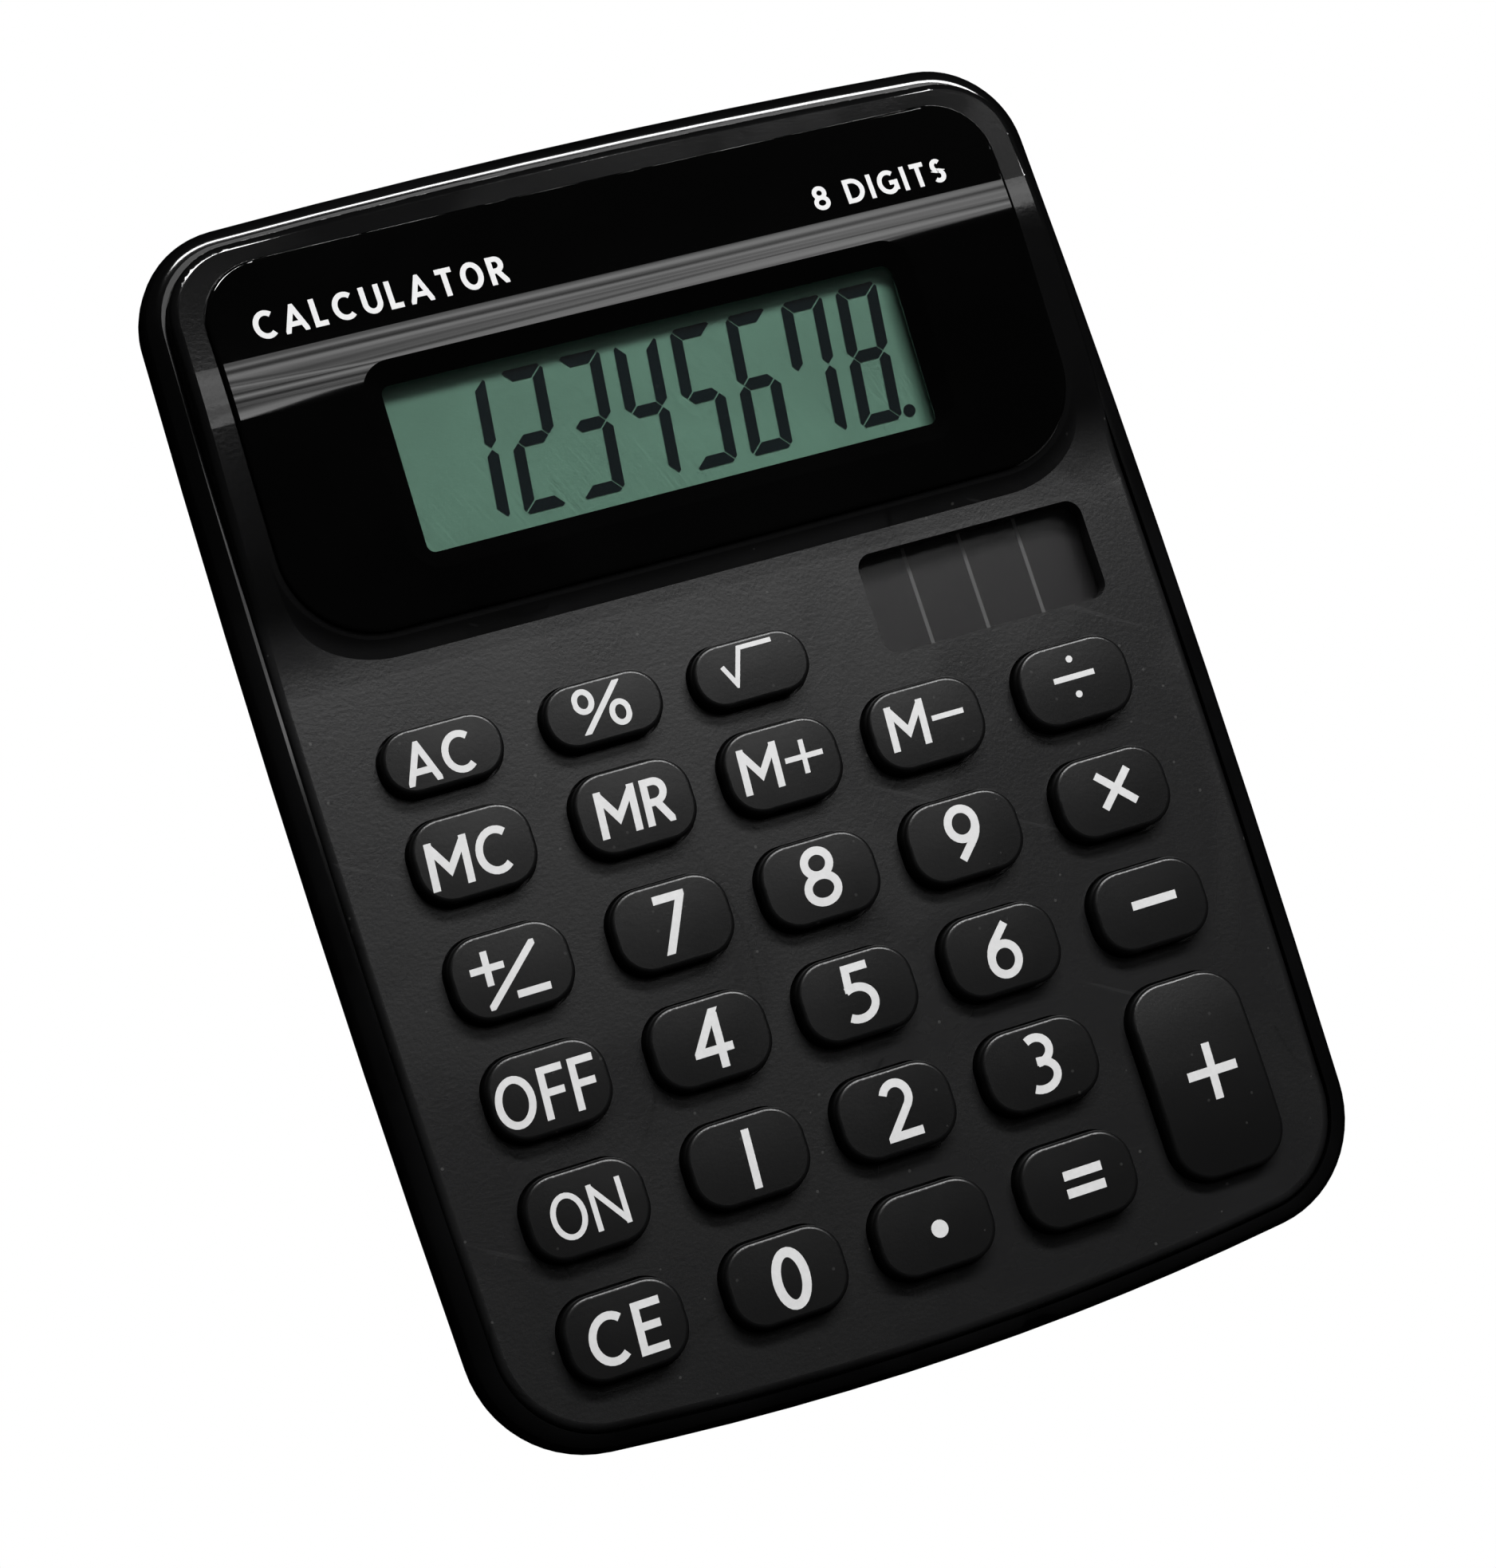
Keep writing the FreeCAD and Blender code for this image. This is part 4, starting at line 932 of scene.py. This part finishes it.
class CALCULATOR_OT_display(Step, bpy.types.Operator):
    """Finish the display's glass and reflector, and add its dark segments"""
    bl_idname = "calculator.display"
    bl_label = "Display"

    def make(self, settings):
        look = settings.display
        dress(["display_window"], clear("Clear acrylic window", (0.2, 0.2, 0.2), 0.012))
        dress(["front_polariser"], clear("Polariser film", (0.05, 0.07, 0.06), 0.012, 0.1))
        back = moulded("Green-grey cell back", look.back, 0.6, grain=5200.0, depth=0.01,
                       smudge=0.07)
        dress(["lcd_front_glass", "lcd_rear_glass", "lcd_reflector"], back)
        self.segments(look)

    def segments(self, look):
        ink = moulded("Dark segment", look.ink, 0.1, depth=0.0, smudge=0.2)
        centre, right, slope, out = front_plane("lcd_front_glass")
        low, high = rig.box("display_window")
        lap = 2.5 * MM              # of the window under the panel
        above_middle = 0.22 * MM
        dot_offset = 0.2 * MM
        thick = 0.03 * MM
        above = 0.05 * MM           # of the glass
        right_edge = (high.x - low.x) / 2 - lap - look.right_margin
        window_mid = ((low + high) / 2 - centre).dot(slope) + above_middle
        polygons = []
        lean = math.tan(look.slant)
        for i, figure in enumerate(reversed(look.text)):
            left = right_edge - look.width - i * look.pitch
            for segment in lit_segments(figure, look):
                polygons.append([Vector((left + x + lean * (y - look.height / 2),
                                         y - look.height / 2)) for x, y in segment])
        dot_at = Vector((right_edge + dot_offset, -look.height / 2 + look.bar / 2))
        polygons.append(disc(dot_at, look.bar * 0.55))
        polygons = [[p / MM for p in polygon] for polygon in polygons]
        flat, triangles = flat_shape(polygons)

        def at(x, y, lift):
            return centre + right * (x * MM) + slope * (y * MM + window_mid) + out * (lift + above)

        points, faces = slab(flat, triangles, lambda x, y: at(x, y, thick),
                             lambda x, y: at(x, y, 0.0))
        piece("display_segments", points, faces, ink, "lcd_back")


def lit_segments(figure, look):
    """Outlines of the lit segments of one figure, from its lower left corner."""
    w = look.width
    h = look.height
    t = look.bar
    s = look.gap
    q = 0.35 * t
    m = h / 2
    top = [(s + q, h), (w - s - q, h), (w - s - q / 2, h - q / 2), (w - s - t, h - t),
           (s + t, h - t), (s + q / 2, h - q / 2)]
    upper = [(w, h - s - q), (w - q / 2, h - s - q / 2), (w - t, h - s - t), (w - t, m + t / 2 + s),
             (w - t / 2, m + s), (w, m + t / 2 + s)]
    centre = [(t / 2 + s, m), (t + s, m - t / 2), (w - t - s, m - t / 2), (w - t / 2 - s, m),
              (w - t - s, m + t / 2), (t + s, m + t / 2)]

    def mirror_x(shape):
        return [(w - x, y) for x, y in shape]

    def mirror_y(shape):
        return [(x, h - y) for x, y in shape]

    shapes = {"a": top, "b": upper, "c": mirror_y(upper), "d": mirror_y(top),
              "e": mirror_y(mirror_x(upper)), "f": mirror_x(upper), "g": centre}
    lit = {"0": "abcdef", "1": "bc", "2": "abged", "3": "abgcd", "4": "fgbc", "5": "afgcd",
           "6": "afgedc", "7": "fabc", "8": "abcdefg", "9": "abcdfg"}
    return [shapes[letter] for letter in lit[figure]]


class CALCULATOR_OT_solar(Step, bpy.types.Operator):
    """Finish the solar cell and its cover, and draw the lines between its cells"""
    bl_idname = "calculator.solar"
    bl_label = "Solar cell"

    def make(self, settings):
        look = settings.solar
        dress(["solar_cover"], clear("Clear solar cover", (0.3, 0.3, 0.3), 0.015))
        dress(["solar_cell"], moulded("Coated solar glass", (0.009, 0.0085, 0.009), 0.22, depth=0.0,
                                      smudge=0.25))
        dress(["solar_pad"], moulded("Black foam", (0.02, 0.02, 0.02), 0.9, grain=1500.0,
                                     depth=0.15))
        dress(["solar_leads"], metal("Tinned copper", (0.75, 0.6, 0.5), 0.3))
        line = printed("Silver grid line", (0.05, 0.05, 0.05), 0.4)
        low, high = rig.box("solar_cell")
        lap = 0.8 * MM              # of the cell under the case
        half = look.line / 2 / MM
        reach = (high.y - low.y) / 2 / MM - 0.2
        pitch = (high.x - low.x - 2 * lap) / look.cells / MM
        polygons = []
        for i in range(1, look.cells):
            x = (i - look.cells / 2) * pitch
            polygons.append([Vector(p) for p in ((x - half, -reach), (x + half, -reach),
                                                 (x + half, reach), (x - half, reach))])
        spot = middle("solar_cell")
        laid_print("solar_cell_lines", polygons, (spot.x, spot.y), "solar_cell", 0.02 * MM, line,
                   "solar_glass", "root")


class CALCULATOR_OT_domes(Step, bpy.types.Operator):
    """Make the rubber sheet with one soft dome and one carbon pill under each key"""
    bl_idname = "calculator.domes"
    bl_label = "Rubber domes"

    def make(self, settings):
        look = settings.domes
        rubber = moulded("Grey silicone", look.rubber, 0.55, grain=2500.0, smudge=0.1)
        carbon = moulded("Carbon pill", (0.01, 0.01, 0.01), 0.7, grain=4000.0)
        board_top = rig.box("circuit_board")[1].z
        web_top = board_top + look.sheet
        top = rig.box("dome_sheet")[1].z
        self.web(web_top, rubber)
        pills = [(low, high) for low, high in solids("dome_sheet") if high.x - low.x < PILL_LIMIT]
        for key in KEYS:
            spot = middle(key)
            plan = size(key)
            base = min(plan.x, plan.y) / 2 - look.inset
            crown = 0.55 * base
            hollow = base - look.wall
            low, high = min(pills, key=lambda p: ((p[0] + p[1]) / 2 - spot).to_2d().length)
            roof = high.z
            profile = [(0, roof), (crown - look.wall / 4, roof), (hollow, web_top), (base, web_top),
                       (crown, top), (0, top)]
            points, faces = lathe(profile, spot.x, spot.y)
            anchor = (spot.x, spot.y, web_top)
            name = key.replace("key_", "dome_")
            dome = piece(name, points, faces, rubber, "silicone", smooth=True)
            r = (high.x - low.x) / 2
            profile = [(0, low.z), (r, low.z), (r, high.z), (0, high.z)]
            points, faces = lathe(profile, spot.x, spot.y)
            pill = piece(name + "_pill", points, faces, carbon, "silicone", smooth=True)
            for soft in (dome, pill):
                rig.squash(soft, key + "_press", axis=(0, 0, 1), anchor=anchor, keep=look.keep)

    def web(self, web_top, rubber):
        """The flat sheet: the CAD sheet cut off at the feet of its domes, and closed again."""
        shape = merged("dome_sheet")
        above = 0.02 * MM
        cut = bmesh.ops.bisect_plane(shape, geom=shape.verts[:] + shape.edges[:] + shape.faces[:],
                                     plane_co=(0, 0, web_top + above), plane_no=UP,
                                     clear_outer=True)
        rims = [e for e in cut["geom_cut"] if isinstance(e, bmesh.types.BMEdge)]
        bmesh.ops.triangle_fill(shape, edges=rims, use_beauty=True, normal=UP)
        bmesh.ops.recalc_face_normals(shape, faces=shape.faces)
        mesh = bpy.data.meshes.new("dome_web")
        shape.to_mesh(mesh)
        shape.free()
        mesh.materials.append(rubber)
        obj = placed("dome_web", mesh)
        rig.slot(obj, "silicone")
        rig.ride(obj, "root")
        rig.replaces(obj, "dome_sheet")


class CALCULATOR_OT_inside(Step, bpy.types.Operator):
    """Finish the board, its parts, the fasteners and the battery's pieces"""
    bl_idname = "calculator.inside"
    bl_label = "Inside"

    def make(self, _):
        dress(["circuit_board"], moulded("Green circuit board", (0.01, 0.07, 0.03), 0.35,
                                         grain=2500.0, depth=0.01))
        dress(["chip_blob"], moulded("Black epoxy", (0.008, 0.008, 0.008), 0.2, depth=0.0))
        dress(["board_capacitor"], metal("Aluminium can", (0.75, 0.75, 0.77), 0.3))
        dress(["board_resistors"], moulded("Black ceramic", (0.02, 0.02, 0.02), 0.5))
        dress(["contact_strip"], moulded("Striped rubber", (0.1, 0.1, 0.11), 0.7))
        dress(["board_screws", "case_screws"], metal("Zinc plated steel", (0.42, 0.42, 0.44), 0.35))
        dress(["button_cell"], metal("Nickel plated steel", (0.75, 0.74, 0.72), 0.22))
        dress(["positive_contact", "negative_contact"],
              metal("Spring strip", (0.72, 0.70, 0.66), 0.28))
        dress(["battery_leads"], moulded("Red lead cover", (0.35, 0.02, 0.015), 0.45))


class CALCULATOR_OT_stage(Step, bpy.types.Operator):
    """Set the pale floor, the soft light, the striped card and the camera"""
    bl_idname = "calculator.stage"
    bl_label = "Stage"

    def make(self, settings):
        look = settings.stage
        self.floor(look.floor)
        self.world(look.fill_light)
        self.card(look.card_light)
        self.soft_light("Key light", (0.24, 0.60, 0.72), 0.80, 0.14, look.key_light)
        self.camera(look.lens)
        bpy.context.scene.view_settings.view_transform = "Standard"

    def plate(self, name, corners, finish):
        """Flat sheet with an empty material: the object, and the material's tree."""
        mesh = bpy.data.meshes.new(name)
        mesh.from_pydata([tuple(c) for c in corners], [], [(0, 1, 2, 3)])
        material = bpy.data.materials.new(finish)
        material.use_nodes = True
        material.node_tree.nodes.clear()
        mesh.materials.append(material)
        return placed(name, mesh), material.node_tree

    def floor(self, width):
        half = width / 2
        corners = [(-half, -half, 0), (half, -half, 0), (half, half, 0), (-half, half, 0)]
        obj, tree = self.plate("floor", corners, "Pale floor")
        path = add(tree, "LightPath")
        seen = add(tree, "Emission", {"Color": WHITE, "Strength": 1.0})
        lit = add(tree, "BsdfDiffuse", {"Color": (0.35, 0.35, 0.35, 1)})
        dark = add(tree, "BsdfDiffuse", {"Color": (0.0, 0.0, 0.0, 1)})
        both = add(tree, "MixShader", {0: path.outputs["Is Camera Ray"],
                   1: lit.outputs[0], 2: seen.outputs[0]})
        quiet = add(tree, "MixShader", {0: path.outputs["Is Glossy Ray"],
                    1: both.outputs[0], 2: dark.outputs[0]})
        through = add(tree, "BsdfTransparent")
        behind = add(tree, "NewGeometry").outputs["Backfacing"]
        sided = add(tree, "MixShader", {0: behind, 1: quiet.outputs[0],
                    2: through.outputs[0]})
        add(tree, "OutputMaterial", {"Surface": sided.outputs[0]})
        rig.stage(obj)

    def world(self, strength):
        world = bpy.data.worlds.new("Studio")
        bpy.context.scene.world = world
        world.use_nodes = True
        tree = world.node_tree
        tree.nodes.clear()
        path = add(tree, "LightPath")
        level = add(tree, "MapRange", {"Value": path.outputs["Is Camera Ray"],
                    "To Min": strength, "To Max": 1.0}).outputs[0]
        mirrored = maths(tree, "MULTIPLY", path.outputs["Is Glossy Ray"], 0.9)
        glossy = maths(tree, "SUBTRACT", 1.0, mirrored)
        glow = add(tree, "Background", {"Color": WHITE,
                   "Strength": maths(tree, "MULTIPLY", level, glossy)})
        add(tree, "OutputWorld", {"Surface": glow.outputs[0]})

    def soft_light(self, name, place, width, length, power):
        """Rectangular soft light that faces the middle of the calculator."""
        data = bpy.data.lights.new(name, "AREA")
        data.shape = "RECTANGLE"
        data.size = width
        data.size_y = length
        data.energy = power
        obj = placed(name, data)
        obj.location = place
        obj.rotation_euler = (-Vector(place)).to_track_quat("-Z", "Y").to_euler()
        obj.visible_camera = False

    def card(self, brightness):
        """Bright card over the display end, with darker bands that show in the panel's crest."""
        centre = Vector((0.0, 0.042, 0.013))
        corners = [centre + Vector((x, y, math.sqrt(1 - x * x - y * y)))
                   for x, y in ((0.08, 0.10), (0.52, 0.24), (0.52, 0.31), (0.08, 0.39))]
        side = (corners[1] + corners[2] - corners[0] - corners[3]).normalized()
        along = (corners[2] + corners[3] - corners[0] - corners[1]).normalized()
        obj, tree = self.plate("light_card", corners, "Striped light card")
        place = add(tree, "TexCoord").outputs["Object"]
        over = add(tree, "VectorMath", {0: place, 1: tuple(along)},
                   operation="DOT_PRODUCT").outputs["Value"]
        across = add(tree, "VectorMath", {0: place, 1: tuple(side)},
                     operation="DOT_PRODUCT").outputs["Value"]
        spread = add(tree, "CombineXYZ", {0: maths(tree, "MULTIPLY", across, 1.2),
                     1: maths(tree, "MULTIPLY", over, 38.0)}).outputs[0]
        bands = noise(tree, spread, 1.0, Detail=3.0, Roughness=0.6)
        level = ramp(tree, bands, 0.36, 0.64, 0.15 * brightness, 1.9 * brightness)
        glow = add(tree, "Emission", {"Color": WHITE, "Strength": level})
        add(tree, "OutputMaterial", {"Surface": glow.outputs[0]})
        obj.visible_camera = False
        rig.stage(obj)

    def camera(self, lens):
        data = bpy.data.cameras.new("camera")
        data.lens = lens
        data.sensor_width = 36.0
        data.clip_start = 0.01
        obj = placed("camera", data)
        right = Vector((0.91602, -0.30870, 0.25616))
        up = Vector((0.26183, 0.94391, 0.20121))
        back = right.cross(up).normalized()
        turn = Matrix((right, up, back)).transposed().to_4x4()
        obj.matrix_world = Matrix.Translation((-0.10582, -0.04361, 0.32902)) @ turn
        bpy.context.scene.camera = obj


class CALCULATOR_PT_panel(bpy.types.Panel):
    """Lists the pieces of the calculator and their settings"""
    bl_idname = "CALCULATOR_PT_panel"
    bl_label = "Calculator"
    bl_space_type = "VIEW_3D"
    bl_region_type = "UI"
    bl_category = "Calculator"

    def draw(self, context):
        settings = context.scene.calculator
        for operator, part in STEPS:
            self.layout.operator(operator.bl_idname)
            for name in part and getattr(settings, part).bl_rna.properties.keys() or ():
                if name not in ("rna_type", "name"):
                    self.layout.prop(getattr(settings, part), name)


STEPS = [
    (CALCULATOR_OT_shells, "case"),
    (CALCULATOR_OT_keys, None),
    (CALCULATOR_OT_legends, "legends"),
    (CALCULATOR_OT_panel_words, None),
    (CALCULATOR_OT_display, "display"),
    (CALCULATOR_OT_solar, "solar"),
    (CALCULATOR_OT_domes, "domes"),
    (CALCULATOR_OT_inside, None),
    (CALCULATOR_OT_stage, "stage"),
]
GROUPS = (CaseSettings, LegendSettings, DisplaySettings, SolarSettings, DomeSettings, StageSettings,
          CalculatorSettings)


def register():
    for settings in GROUPS:
        bpy.utils.register_class(settings)
    for operator, _ in STEPS:
        bpy.utils.register_class(operator)
    bpy.utils.register_class(CALCULATOR_PT_panel)
    bpy.types.Scene.calculator = PointerProperty(type=CalculatorSettings)


def unregister():
    del bpy.types.Scene.calculator
    bpy.utils.unregister_class(CALCULATOR_PT_panel)
    for operator, _ in reversed(STEPS):
        bpy.utils.unregister_class(operator)
    for settings in reversed(GROUPS):
        bpy.utils.unregister_class(settings)


def main():
    register()
    for make_group in (moulded_grain, smudges, flow_lines, scratches, dust):
        make_group()
    for operator, _ in STEPS:
        section, action = operator.bl_idname.split(".")
        getattr(getattr(bpy.ops, section), action)()
    sizes = {"cad": [list(p) for p in CAD_BOX], "visual": [list(p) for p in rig.bounds()]}
    with open("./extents.json", "w") as file:
        json.dump(sizes, file)


if __name__ == "__main__":
    main()
